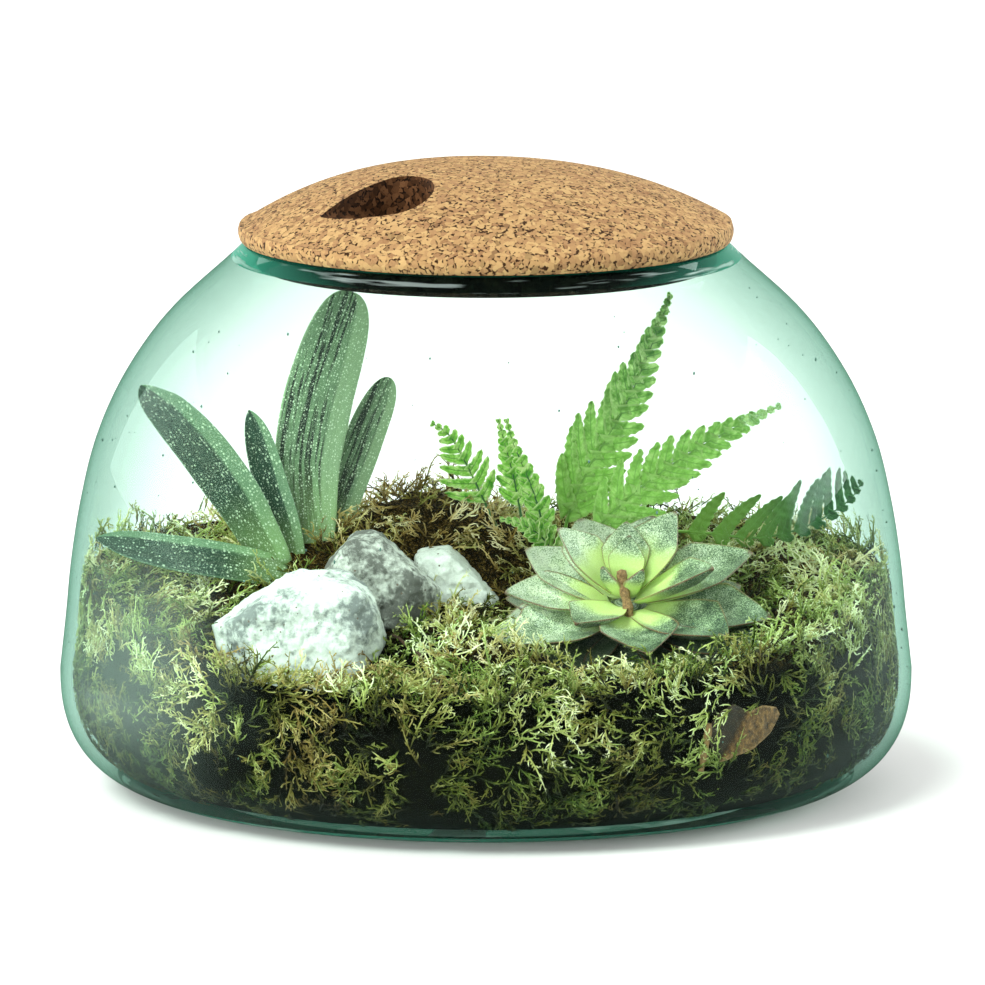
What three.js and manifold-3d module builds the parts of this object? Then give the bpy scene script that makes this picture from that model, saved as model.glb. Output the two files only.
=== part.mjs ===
// A closed garden in a round glass bowl. A domed cork lid rests on the bowl's rim, and inside it moss
// lies over soil, with three white stones, a spotted ox-tongue plant, a fern and a grey-green rosette.
import * as THREE from 'three';
import { mergeVertices } from 'three/addons/utils/BufferGeometryUtils.js';
import Module from 'manifold-3d';

const wasm = await Module();
wasm.setup();

// Sizes are in millimetres. The bowl stands on z = 0 with its axis on Z, and its front faces -Y.
const GAP = 0.3;
const SOFT_GAP = 0.5;
const SIDES = 40;

// The bowl is widest low down, and leans in to an upright collar round its mouth.
const BASE_RADIUS = 97.3;
const BOWL_RADIUS = 142.6;
const BELLY_HEIGHT = 40;
const CORNER_STEPS = 5;
const CORNER_OUT = 0.79;
const CORNER_UP = 0.8;
const SHOULDER = [[140.6, 58], [138.8, 76], [135.6, 96], [130.4, 117], [121, 138], [106.4, 158.6], [85, 178.6]];
const COLLAR_RADIUS = 81;
const RIM_HEIGHT = 183.4;
const WALL = 3.6;
const FLOOR = 4.2;
const FLOOR_RADIUS = BASE_RADIUS - 4;
const FLOOR_STEP = 1;
const RIM_ROUND = 1;
const MOUTH_DEPTH = 2.4;
const MOUTH_ROUND = 0.8;

// The lid is one piece of pressed cork: a shallow dome, a rounded edge and a plug that fills the mouth.
const DOME_RADIUS = 82;
const DOME_FOOT = 189.6;
const DOME_RISE = 20.1;
const DOME_POWER = 2.5;
const DOME_STEPS = 6;
const DOME_SHIFT = 1.1;
const DOME_LEAN = 0.017;
const EDGE = [[81, 0], [82.4, 1.4], [82.6, 3.4]];
const PLUG_ROOM = 0.5;
const PLUG_RADIUS = COLLAR_RADIUS - WALL - PLUG_ROOM;
const PLUG_DEPTH = 8;
const PLUG_BEVEL = 1.2;
const DOME_SPACING = 0.8;
const DOME_MARK = DOME_FOOT - 0.1;

// The scoop for a finger runs from a tip at the left into a round, deep end.
const SCOOP_TIP = [-56, -39.5];
const SCOOP_CENTRE = [-29, -35];
const SCOOP_HALF = [12, 17.5];
const SCOOP_NEAR_BEND = 14;
const SCOOP_FAR_BEND = 6;
const SCOOP_REACH = 60;
const SCOOP_TIP_FLOOR = 197;
const SCOOP_END_FLOOR = 191.5;

// The moss lies in low mounds and hollows: [x, y, height, reach] of each.
const MOSS_LEVEL = 62;
const MOSS_SLOPE = 0.07;
const MOSS_SIDE_RISE = 12;
const MOUNDS = [
  [-20, 42, 27, 38],
  [-66, 14, 11, 24],
  [30, 24, 9, 28],
  [48, -52, -7, 30],
  [-60, -76, -12, 30],
  [4, -84, 7, 24],
  [-6, -54, 6, 22],
  [92, 34, 4, 24],
];
const MOSS_GRID = { sides: 32, rings: 8 };
const MOSS_SIDES = SIDES / 2;

// Small tufts roughen the moss: [height, length across, length along].
const TUFTS = [[1.3, 6.1, 7.3], [0.8, 3.7, 4.9]];

// The soil lies under the moss, nearer its surface round the fern and the ox-tongue: [x, y, reach].
const MOSS_DEPTH = 13;
const SOIL_GRID = { sides: 20, rings: 5 };
const SHALLOW = [[18, 20, 24], [-64, 14, 18]];
const SHALLOW_SHARE = 0.75;
const SOIL_EDGE = [[88, 0], [108, 18], [114, 40]];
const BARE_PATCH = { centre: [20, 19], radius: 9, sides: 10 };

// Corners this near to each other are one corner.
const SAME_CORNER = 1e-4;

// A way that no stem runs along, from which the turn of its section is set.
const STEM_FACE = new THREE.Vector3(0.31, -0.95, 0.05);

const group = new THREE.Group();

function finish(color, roughness) {
  return new THREE.MeshStandardMaterial({ color, roughness, metalness: 0 });
}

const glass = new THREE.MeshStandardMaterial({ color: 0xbfe8dc, roughness: 0.05, transparent: true, opacity: 0.35 });
const cork = finish(0xb98a5e, 0.9);
const earth = finish(0x2e241a, 1);
const moss = finish(0x6e7434, 1);
const limestone = finish(0xd9dcd8, 0.85);
const spottedLeaf = finish(0x4c6b47, 0.5);
const fernGreen = finish(0x5fae3c, 0.6);
const dustyLeaf = finish(0x93ab86, 0.7);
const driedBrown = finish(0x6b4a33, 0.95);
const stemGreen = finish(0x8ba35a, 0.7);

function at([x, y, z]) {
  return new THREE.Vector3(x, y, z);
}

// A closed solid from a mesh, with its shared corners merged and its faces turned outwards.
function solidFrom(geometry) {
  const bare = geometry.clone();
  bare.deleteAttribute('normal');
  bare.deleteAttribute('uv');
  const merged = mergeVertices(bare, SAME_CORNER);
  const corners = merged.index.array;
  const kept = [];
  for (let i = 0; i < corners.length; i += 3) {
    const [a, b, c] = [corners[i], corners[i + 1], corners[i + 2]];
    if (a !== b && b !== c && c !== a) kept.push(a, b, c);
  }
  const vertProperties = merged.attributes.position.array;
  const made = new wasm.Manifold(new wasm.Mesh({ numProp: 3, vertProperties, triVerts: new Uint32Array(kept) }));
  if (made.volume() > 0) return made;
  const triVerts = new Uint32Array(kept.reverse());
  return new wasm.Manifold(new wasm.Mesh({ numProp: 3, vertProperties, triVerts }));
}

function geometryOf(solid) {
  const { vertProperties, triVerts } = solid.getMesh();
  const geometry = new THREE.BufferGeometry();
  geometry.setAttribute('position', new THREE.BufferAttribute(vertProperties, 3));
  geometry.setIndex(new THREE.BufferAttribute(triVerts, 1));
  geometry.computeVertexNormals();
  return geometry;
}

function indexed(points, triangles) {
  const geometry = new THREE.BufferGeometry().setFromPoints(points);
  geometry.setIndex(triangles);
  return geometry;
}

// The same solid with its faces moved out, which is the room that it needs in a neighbour.
function grown(solid, by = GAP) {
  const geometry = geometryOf(solid);
  const { position, normal } = geometry.attributes;
  const point = new THREE.Vector3();
  const out = new THREE.Vector3();
  for (let i = 0; i < position.count; i++) {
    out.fromBufferAttribute(normal, i);
    point.fromBufferAttribute(position, i).addScaledVector(out, by);
    position.setXYZ(i, point.x, point.y, point.z);
  }
  return solidFrom(geometry);
}

// The main body of a solid, without loose scraps and with its sealed hollows filled.
function whole(solid) {
  return solid.decompose().reduce((most, piece) => (piece.volume() > most.volume() ? piece : most));
}

function cutBy(solid, others, gap = GAP) {
  return whole(others.reduce((left, other) => left.subtract(grown(other, gap)), solid));
}

function addPart(name, solid, material) {
  const mesh = new THREE.Mesh(geometryOf(solid), material);
  mesh.name = name;
  group.add(mesh);
}

// A surface of revolution about Z through [radius, height] points.
function lathe(profile, sides = SIDES) {
  const points = profile.map(([radius, height]) => new THREE.Vector2(radius, height));
  return new THREE.LatheGeometry(points, sides).rotateX(Math.PI / 2);
}

// A lathe whose points above a level are set to a height worked out from their place.
function raised(profile, level, height, sides = SIDES) {
  const geometry = lathe(profile, sides);
  const { position } = geometry.attributes;
  for (let i = 0; i < position.count; i++) {
    if (position.getZ(i) > level) position.setZ(i, height(position.getX(i), position.getY(i)));
  }
  return solidFrom(geometry);
}

// A closed skin over rings of points, all with the same count. Each end is closed at its middle.
function loft(rings) {
  const middle = (ring) => ring.reduce((sum, p) => sum.add(p), new THREE.Vector3()).divideScalar(ring.length);
  const ends = [rings[0], rings[rings.length - 1]].map((ring) => ring.map(() => middle(ring)));
  const rows = [ends[0], ...rings, ends[1]];
  const count = rings[0].length;
  const triangles = [];
  for (let row = 0; row + 1 < rows.length; row++) {
    for (let side = 0; side < count; side++) {
      const [a, b] = [row * count + side, row * count + ((side + 1) % count)];
      triangles.push(a, b, b + count, a, b + count, a + count);
    }
  }
  return solidFrom(indexed(rows.flat(), triangles));
}

// The directions at a point of a curve: along it, across it, and up on the side that its face looks to.
function frameOn(curve, t, face) {
  const along = curve.getTangentAt(t);
  const across = new THREE.Vector3().crossVectors(along, face).normalize();
  const up = new THREE.Vector3().crossVectors(across, along);
  return { centre: curve.getPointAt(t), across, up };
}

// A solid along a curve, whose section(t) gives its outline at each stop as [across, up] points.
function swept(points, face, stops, section) {
  const curve = new THREE.CatmullRomCurve3(points.map(at));
  const rings = stops.map((t) => {
    const { centre, across, up } = frameOn(curve, t, face);
    return section(t).map(([a, u]) => centre.clone().addScaledVector(across, a).addScaledVector(up, u));
  });
  return loft(rings);
}

function evenStops(steps) {
  return Array.from({ length: steps + 1 }, (_, i) => i / steps);
}

function circle(radius, sides) {
  return Array.from({ length: sides }, (_, i) => {
    const turn = (i / sides) * 2 * Math.PI;
    return [radius * Math.cos(turn), radius * Math.sin(turn)];
  });
}

// A round stem whose radius narrows from its foot to its top.
function stem(points, footRadius, topRadius, steps, sides) {
  return swept(points, STEM_FACE, evenStops(steps), (t) => circle(footRadius + (topRadius - footRadius) * t, sides));
}

// A thin closed blade from flat outlines that share corners. place(point) gives a corner's middle, the
// way its face looks and half its thickness, so both faces are split into triangles alike.
function blade(outlines, place) {
  const flat = [];
  const known = new Map();
  const cornerOf = (point) => {
    const key = `${point.x.toFixed(3)} ${point.y.toFixed(3)}`;
    if (!known.has(key)) known.set(key, flat.push(point) - 1);
    return known.get(key);
  };
  const faces = outlines.flatMap((outline) => {
    const corners = outline.map(cornerOf);
    return THREE.ShapeUtils.triangulateShape(outline, []).map((face) => face.map((i) => corners[i]));
  });
  const placed = flat.map(place);
  const side = (way) => placed.map(({ middle, normal, half }) => middle.clone().addScaledVector(normal, way * half));
  const count = flat.length;
  const used = new Set(faces.flatMap(([a, b, c]) => [`${a} ${b}`, `${b} ${c}`, `${c} ${a}`]));
  const triangles = [];
  for (const [a, b, c] of faces) {
    triangles.push(a, b, c, c + count, b + count, a + count);
    for (const [from, to] of [[a, b], [b, c], [c, a]]) {
      if (!used.has(`${to} ${from}`)) triangles.push(from, from + count, to + count, from, to + count, to);
    }
  }
  return solidFrom(indexed([...side(1), ...side(-1)], triangles));
}

// The bowl's outer wall as [radius, height] points from the edge of its base up to the rim.
function bowlWall() {
  const corner = evenStops(CORNER_STEPS).map((share) => {
    const turn = (share * Math.PI) / 2;
    const radius = BASE_RADIUS + (BOWL_RADIUS - BASE_RADIUS) * Math.sin(turn) ** CORNER_OUT;
    return [radius, BELLY_HEIGHT * (1 - Math.cos(turn) ** CORNER_UP)];
  });
  const rim = [[COLLAR_RADIUS, RIM_HEIGHT - RIM_ROUND], [COLLAR_RADIUS - RIM_ROUND, RIM_HEIGHT]];
  return [...corner, ...SHOULDER, ...rim];
}

// The inside of the bowl from its middle up to the foot of the collar, kept a distance off the glass.
function bowlInside(clearance) {
  const distance = WALL + clearance;
  const floor = FLOOR + clearance;
  const wall = bowlWall();
  const inner = wall.slice(1, -2).map(([radius, height], i) => {
    const along = new THREE.Vector2(wall[i + 2][0] - wall[i][0], wall[i + 2][1] - wall[i][1]).normalize();
    return [radius - along.y * distance, height + along.x * distance];
  });
  return [[0, floor], [FLOOR_RADIUS, floor], ...inner.filter(([, height]) => height > floor + FLOOR_STEP)];
}

function bowl() {
  const mouth = COLLAR_RADIUS - WALL;
  const lip = [[mouth, RIM_HEIGHT - MOUTH_DEPTH], [mouth, RIM_HEIGHT - MOUTH_ROUND]];
  const inside = [...bowlInside(0), ...lip, [mouth + MOUTH_ROUND, RIM_HEIGHT]];
  return solidFrom(lathe([[0, 0], ...bowlWall(), ...inside.reverse()]));
}

// The lid's upper face stands a little higher at the left.
function domeHeight(x, y) {
  const share = Math.min(Math.hypot(x - DOME_SHIFT, y) / DOME_RADIUS, 1);
  return DOME_FOOT + DOME_RISE * (1 - share ** DOME_POWER) - DOME_LEAN * x * (1 - share ** 2);
}

function scoop() {
  const [[tipX, tipY], [endX, endY], [halfX, halfY]] = [SCOOP_TIP, SCOOP_CENTRE, SCOOP_HALF];
  const shape = new THREE.Shape();
  shape.moveTo(tipX, tipY);
  shape.quadraticCurveTo(endX - SCOOP_NEAR_BEND, endY - halfY, endX, endY - halfY);
  shape.absellipse(endX, endY, halfX, halfY, -Math.PI / 2, Math.PI / 2, false, 0);
  shape.quadraticCurveTo(endX - SCOOP_FAR_BEND, endY + halfY, tipX, tipY);
  const column = new THREE.ExtrudeGeometry(shape, { depth: SCOOP_REACH, bevelEnabled: false, curveSegments: 7 });
  const fall = Math.atan2(SCOOP_TIP_FLOOR - SCOOP_END_FLOOR, endX + halfX - tipX);
  const above = new THREE.BoxGeometry(2 * SCOOP_REACH, 2 * SCOOP_REACH, SCOOP_REACH);
  above.translate(0, 0, SCOOP_REACH / 2).rotateY(fall).translate(tipX, tipY, SCOOP_TIP_FLOOR);
  return solidFrom(column.translate(0, 0, RIM_HEIGHT)).intersect(solidFrom(above));
}

function lid() {
  const seat = RIM_HEIGHT + GAP;
  const foot = seat - PLUG_DEPTH;
  const plug = [[0, foot], [PLUG_RADIUS - PLUG_BEVEL, foot], [PLUG_RADIUS, foot + PLUG_BEVEL], [PLUG_RADIUS, seat]];
  const edge = EDGE.map(([radius, height]) => [radius, seat + height]);
  const dome = evenStops(DOME_STEPS).reverse().map((share) => [DOME_RADIUS * share ** DOME_SPACING, DOME_FOOT]);
  return raised([...plug, ...edge, ...dome], DOME_MARK, domeHeight).subtract(scoop());
}

function swell(x, y, centreX, centreY, reach) {
  return Math.exp(-((x - centreX) ** 2 + (y - centreY) ** 2) / reach ** 2);
}

function mossHeight(x, y) {
  const level = MOSS_LEVEL + MOSS_SLOPE * y + MOSS_SIDE_RISE * (x / BOWL_RADIUS) ** 2;
  const rough = TUFTS.reduce((sum, [height, across, along]) => sum + height * Math.sin(x / across + y / along), level);
  return MOUNDS.reduce((sum, [cx, cy, height, reach]) => sum + height * swell(x, y, cx, cy, reach), rough);
}

function soilHeight(x, y) {
  const shallow = SHALLOW.reduce((most, [cx, cy, reach]) => Math.max(most, swell(x, y, cx, cy, reach)), 0);
  return mossHeight(x, y) - MOSS_DEPTH * (1 - SHALLOW_SHARE * shallow);
}

// A round block from a low level up to a top whose height is worked out from each point's place. Until
// then the top is drawn at a mark.
const HEAP_MARK = 2;

function heap(height, radius, { sides, rings }) {
  const top = evenStops(rings).reverse().map((share) => [radius * share, HEAP_MARK]);
  return raised([[0, 0], [radius, 0], ...top], HEAP_MARK / 2, height, sides);
}

// The soil, or with a clearance the room that it needs in the moss.
function soil(clearance = 0) {
  const foot = FLOOR + GAP - clearance;
  const edge = SOIL_EDGE.map(([radius, height]) => [radius + clearance, FLOOR + GAP + height]);
  const side = [[edge[0][0], foot], ...edge, [edge[edge.length - 1][0], RIM_HEIGHT]];
  const core = solidFrom(lathe([[0, foot], ...side, [0, RIM_HEIGHT]], SOIL_GRID.sides));
  return heap((x, y) => soilHeight(x, y) + clearance, BOWL_RADIUS, SOIL_GRID).intersect(core);
}

// The moss fills the bowl out to the glass, with a bare patch round the fern's foot.
function mossBed() {
  const inside = bowlInside(GAP);
  const room = solidFrom(lathe([...inside, [0, inside[inside.length - 1][1]]], MOSS_SIDES));
  const { centre, radius, sides } = BARE_PATCH;
  const shaft = lathe([[0, 0], [radius, 0], [radius, RIM_HEIGHT], [0, RIM_HEIGHT]], sides);
  const bed = heap(mossHeight, BOWL_RADIUS + WALL, MOSS_GRID).intersect(room);
  return bed.subtract(solidFrom(shaft.translate(...centre, 0))).subtract(soil(2 * GAP));
}

// A worn stone: a ball pressed flat by planes, each given as [turn from +X, tilt up, distance]. The
// waves are those of its worn faces, each along a way.
const STONE_SHARPNESS = 9;
const STONE_WEAR = 0.02;
const STONE_WAVES = [at([9, 5, 0]), at([0, -6, 8])];

function stone(centre, planes, detail) {
  const flats = planes.map(([turn, tilt, distance]) => {
    const [a, b] = [THREE.MathUtils.degToRad(turn), THREE.MathUtils.degToRad(tilt)];
    return at([Math.cos(a) * Math.cos(b), Math.sin(a) * Math.cos(b), Math.sin(b)]).divideScalar(distance);
  });
  const [broad, fine] = STONE_WAVES;
  const geometry = new THREE.IcosahedronGeometry(1, detail);
  const { position } = geometry.attributes;
  const way = new THREE.Vector3();
  for (let i = 0; i < position.count; i++) {
    way.fromBufferAttribute(position, i);
    const sum = flats.reduce((total, flat) => total + Math.max(0, way.dot(flat)) ** STONE_SHARPNESS, 0);
    const wear = 1 + STONE_WEAR * Math.sin(way.dot(broad)) * Math.cos(way.dot(fine));
    way.multiplyScalar(wear * sum ** (-1 / STONE_SHARPNESS)).add(at(centre));
    position.setXYZ(i, way.x, way.y, way.z);
  }
  return solidFrom(geometry);
}

const STONES = {
  stone_front: {
    centre: [-61, -62, 62],
    planes: [
      [180, 58, 17.6], [0, 90, 19], [0, 47, 24.5], [0, 12, 26.5], [0, -54, 21], [0, -90, 19], [180, -10, 28],
      [270, 12, 20], [90, 8, 18], [225, 0, 25], [315, 0, 26], [135, 18, 24], [45, 10, 25], [255, 52, 21],
    ],
    detail: 3,
  },
  stone_middle: {
    centre: [-35.5, -26, 72.5],
    planes: [
      [180, 40, 16.5], [180, 90, 15.4], [0, 49, 11.8], [0, -5, 20], [0, -90, 14], [180, -5, 18.5], [270, 5, 12],
      [90, 5, 14], [225, 10, 16], [315, -5, 16], [60, 20, 15], [290, 40, 13],
    ],
    detail: 3,
  },
  stone_back: {
    centre: [-8.5, 1, 65.5],
    planes: [
      [180, 80, 14.2], [0, 47, 7.6], [0, -8, 18.5], [180, 10, 16], [0, -90, 13], [270, 5, 14], [90, 5, 13],
      [225, 5, 15], [320, 0, 16], [60, 15, 14],
    ],
    detail: 3,
  },
};

// The ox-tongue's leaves are thick tongues in two ranks, flat or a little hollow above and keeled below.
const TONGUE_STOPS = [0, 0.12, 0.28, 0.46, 0.64, 0.8, 0.91, 0.97, 1];
const TONGUE_TOP = [[-1, 0.1], [-0.5, 0.5], [0, 0.45], [0.5, 0.5], [1, 0.1]];
const TONGUE_SECTION = [...TONGUE_TOP, [0.5, -0.65], [0, -1], [-0.5, -0.65]];
const TONGUES = {
  ox_tongue_leaf_tall: {
    spine: [[-58.5, 17, 71], [-59, 18.5, 84], [-60, 20, 100], [-59.4, 21, 110], [-56.4, 22, 126.3], [-52, 24, 141.3],
      [-48, 26, 153.2], [-45, 27, 162.4]],
    face: [0.05, -1, 0.1],
    width: 12.2,
    foot: 0.55,
    thick: 3.8,
    blunt: 0.5,
  },
  ox_tongue_leaf_back: {
    spine: [[-55.5, 27.5, 72], [-52.5, 29, 80], [-47.5, 31, 94.4], [-43.1, 33, 105.8], [-39.1, 35, 116.1], [-35.2, 36, 125],
      [-32.4, 37, 131.6]],
    face: [0.1, -1, 0.2],
    width: 6.8,
    foot: 0.75,
    thick: 2.8,
    blunt: 0.55,
  },
  ox_tongue_leaf_small: {
    spine: [[-64.5, 9, 71], [-66, 8.6, 80], [-68.5, 8.4, 89], [-71.4, 9, 97.5], [-74.4, 10, 108.2], [-77, 11, 117.6],
      [-79.4, 12, 124.6]],
    face: [-0.2, -1, 0.1],
    width: 6,
    foot: 0.7,
    thick: 2.6,
    blunt: 0.9,
  },
  ox_tongue_leaf_arched: {
    spine: [[-69.5, 2, 71.5], [-73, 1.5, 79], [-77.5, 1, 87], [-82.5, 0, 96], [-88.7, -1, 105.1], [-96, -3, 115.3],
      [-104.8, -6, 125.8], [-110.5, -8, 131.4], [-115, -10, 136.4]],
    face: [-0.45, -1, -0.2],
    width: 10.6,
    foot: 0.6,
    thick: 3.4,
    blunt: 0.8,
  },
  ox_tongue_leaf_low: {
    spine: [[-66, 1, 72.5], [-72, -4.5, 73.6], [-79, -7.5, 75.2], [-92.2, -10.5, 78], [-105.5, -13.5, 80.6],
      [-118.7, -16, 83.6], [-130, -18, 86.2]],
    face: [0.1, -0.75, 0.65],
    width: 7.6,
    foot: 0.8,
    thick: 3.2,
    blunt: 1,
  },
};

// How a tongue's width and thickness go from its foot, 0, to its tip, 1.
const TONGUE_WIDEST = 0.6;
const TONGUE_TIP = { wide: 9, thick: 8, round: 0.6 };
const TONGUE_NARROWS = 0.25;
const TONGUE_THINS = 0.45;

function tongue({ spine, face, width, foot, thick, blunt }) {
  const section = (t) => {
    const swelling = foot + (1 - foot) * Math.sin(Math.min(t / TONGUE_WIDEST, 1) * (Math.PI / 2));
    const taper = Math.max(0, 1 - t ** TONGUE_TIP.wide) ** blunt * (1 - TONGUE_NARROWS * blunt * t ** 2);
    const depth = Math.max(0, 1 - t ** TONGUE_TIP.thick) ** TONGUE_TIP.round * (1 - TONGUE_THINS * t);
    return TONGUE_SECTION.map(([a, u]) => [a * width * swelling * taper, u * thick * depth]);
  };
  return swept(spine, at(face), TONGUE_STOPS, section);
}

// A frond is a rib with leaflets on both sides, cut down to the rib in one thin blade's outline. pairs
// counts the leaflets on each side, reach is the longest one's length, and sides gives each side's share.
const BLADE_HALF = 0.4;
const RIB_HALF = 0.75;
const RIB_FACE = 0.9;
const RIB_TAPER = 0.5;
const BLADE_END = 0.985;
const LEAFLET_SPACING = 0.92;
const REACH = { lowest: 0.55, swell: 3, least: 0.1, taper: 1.35 };
const BLADE_CUP = 0.09;
const BLADE_DROOP = 0.006;
const LEAFLET_LEAN = 1.05;
const LOBE = { crest: 0.75, end: 0.94, half: 0.47, narrows: 0.5, notch: 0.16, waist: 0.7 };
const BARE_STEPS = 5;
const STALK_HOLE_RADIUS = 1.2;
const STALK_HOLE_SIDES = 5;
const FRONDS = {
  fern_frond_tall: {
    spine: [[23, 24, 58], [25, 23, 72], [28, 22.5, 88], [34.9, 22, 103.5], [43.7, 22.5, 118.2], [51, 23.5, 133],
      [58.1, 25, 150.7], [62.3, 26, 163]],
    face: [-0.1, -1, 0.15],
    bare: 0.24,
    pairs: 13,
    reach: 25,
    sides: [1, 0.66],
    lobes: 2,
  },
  fern_frond_right: {
    spine: [[30.5, 13.5, 58], [31.5, 12, 72], [36, 9, 83], [45, 5.5, 93], [55, 3, 102], [70.6, 1, 113.1], [85, -1, 121.5],
      [99.5, -2, 129]],
    face: [-0.1, -0.9, 0.55],
    bare: 0.26,
    pairs: 11,
    reach: 21,
    sides: [0.9, 1],
    lobes: 2,
  },
  fern_frond_far_right: {
    spine: [[35, 27, 56], [41, 29, 71], [54, 32, 79], [70, 33, 79.5], [88, 30.5, 78], [98, 27, 79.5], [108, 22, 83.5],
      [116, 18, 88.5], [123, 13, 95], [126.5, 10, 102]],
    face: [-0.3, -1, 0.12],
    bare: 0.38,
    pairs: 9,
    reach: 19,
    taper: 6,
    sides: [1, 0.22],
    lobes: 2,
  },
  fern_frond_left: {
    spine: [[9, 28, 62], [6, 30, 76], [1, 30, 87], [-3.5, 29.5, 97], [-8.5, 29, 107], [-13, 28.5, 114], [-19, 28, 118]],
    face: [0.1, -1, 0.3],
    bare: 0.46,
    pairs: 7,
    reach: 15,
    sides: [1, 0.8],
    lobes: 2,
  },
  fern_frond_left_upright: {
    spine: [[14, 30, 62], [13, 31, 76], [11, 32, 90], [8, 32.5, 104], [4, 33, 118.5]],
    face: [0, -1, 0.1],
    bare: 0.46,
    pairs: 7,
    reach: 9,
    sides: [1, 1],
    lobes: 1,
  },
  fern_frond_centre: {
    spine: [[18, 12.5, 60], [19.5, 11, 74], [18.5, 10, 88], [14.5, 9.5, 101], [9.5, 9, 113], [6.6, 9, 122.5]],
    face: [0, -1, 0.1],
    bare: 0.28,
    pairs: 9,
    reach: 8,
    sides: [1, 1],
    lobes: 1,
  },
  fern_frond_low: {
    spine: [[23, 8, 60], [23, 4, 74], [19, -1, 83], [12, -5, 88.5], [4.5, -8, 91]],
    face: [0.1, -0.8, 0.6],
    bare: 0.34,
    pairs: 6,
    reach: 9,
    sides: [1, 1],
    lobes: 1,
  },
};

// One leaflet's outline between two stations of the rib, on the side given by the sign of its reach.
// It leans towards the frond's tip, and its two edges are cut into lobes.
function leaflet(low, high, reach, lobes) {
  const middle = low.clone().lerp(high, 0.5);
  const along = high.clone().sub(low);
  const out = new THREE.Vector2(Math.cos(LEAFLET_LEAN), Math.sign(reach) * Math.sin(LEAFLET_LEAN));
  const point = (share, width) => {
    return middle.clone().addScaledVector(out, Math.abs(reach) * share).addScaledVector(along, width);
  };
  const edge = (sign) => evenStops(lobes).slice(0, -1).flatMap((foot) => {
    const share = (foot + LOBE.crest / lobes) * LOBE.end;
    const width = sign * LOBE.half * (1 - LOBE.narrows * share ** 2);
    return [point(share, width), point(share + LOBE.notch / lobes, width * LOBE.waist)];
  });
  return [low, ...edge(-1), point(1, 0), ...edge(1).reverse(), high];
}

function frond({ spine, face, bare, pairs, reach, taper = REACH.taper, sides, lobes }) {
  const curve = new THREE.CatmullRomCurve3(spine.map(at));
  const length = curve.getLength();
  const ribAt = (share) => RIB_HALF * (1 - RIB_TAPER * share);
  const reachAt = (share) => {
    const swelling = Math.min(1, REACH.lowest + share * REACH.swell);
    return reach * swelling * Math.max(REACH.least, 1 - share ** taper);
  };
  const bareStops = evenStops(BARE_STEPS).map((share) => share * bare);
  const leafy = evenStops(pairs).slice(1);
  const leafyStops = leafy.map((share) => bare + (BLADE_END - bare) * share ** LEAFLET_SPACING);
  const stops = [...bareStops, ...leafyStops];
  const [left, right] = [1, -1].map((side) => stops.map((t) => new THREE.Vector2(t * length, side * ribAt(t))));
  const outlines = [];
  for (let i = 0; i + 1 < stops.length; i++) {
    outlines.push([right[i], right[i + 1], left[i + 1], left[i]]);
    if (i < BARE_STEPS) continue;
    const long = reachAt((i - BARE_STEPS) / pairs);
    outlines.push(leaflet(left[i], left[i + 1], long * sides[0], lobes));
    outlines.push(leaflet(right[i], right[i + 1], -long * sides[1], lobes));
  }
  const last = stops.length - 1;
  outlines.push([right[last], new THREE.Vector2(length, 0), left[last]]);
  const faceWay = at(face);
  return blade(outlines, (point) => {
    const { centre, across, up } = frameOn(curve, Math.min(point.x / length, 1), faceWay);
    const out = Math.abs(point.y);
    const lift = BLADE_CUP * out - BLADE_DROOP * out * out;
    const middle = centre.addScaledVector(across, -point.y).addScaledVector(up, lift);
    const isRib = out <= RIB_HALF && point.x < length;
    return { middle, normal: up, half: isRib ? RIB_HALF * RIB_FACE : BLADE_HALF };
  });
}

// The rosette leans towards the front. Each leaf is [turn, tilt up, length, drop of its foot].
const ROSETTE_PLACE = [46, -45, 70.6];
const ROSETTE_LEAN = 20;
const ROSETTE_LEAVES = [
  [80, 65, 20, 0], [200, 58, 15, 0], [320, 60, 15, 0],
  [88, 45, 26, 1], [46, 42, 33, 1], [156, 40, 31.6, 1], [339, 30, 36, 2], [237, 10, 31, 2], [280, 5, 43, 3],
  [19, 12, 46, 3], [181, 5, 40, 3], [217, 0, 47, 4], [319, 5, 45, 4], [349, 0, 49.5, 5], [75, 18, 40, 4],
  [112, 16, 41, 4], [145, 12, 41, 5],
  [333, -6, 51, 6], [341, -10, 52, 9.5], [311, -9, 39, 9], [229, -9, 38, 9], [191, -8, 47, 7], [265, -12, 38, 10],
  [30, -2, 45, 9], [95, 2, 40, 9], [160, -2, 42, 9],
];
const ROSETTE_STOPS = [0, 0.34, 0.62, 0.85, 1];
const ROSETTE_SPINE = [0.11, 0.4, 0.7, 1];
const ROSETTE_CORE = { heights: [-24, -12, 1], foot: 5.2, top: 6, steps: 3, sides: 8 };

// One leaf of it: widest past its middle, with a waist at its foot, raised rims and a keel below.
const LEAF_WIDEST = 0.62;
const LEAF_WAIST = 0.32;
const LEAF_POINT = 0.72;
const LEAF_HALF = 0.31;
const LEAF_THICK = 1.9;
const LEAF_THIN_END = 0.2;
const LEAF_RIM = 0.24;
const LEAF_KEEL = 0.5;
const LEAF_BOW = { much: 0.12, from: 0.55 };

function leaned([x, y, z]) {
  return at([x, y, z]).applyAxisAngle(new THREE.Vector3(1, 0, 0), THREE.MathUtils.degToRad(ROSETTE_LEAN));
}

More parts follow.
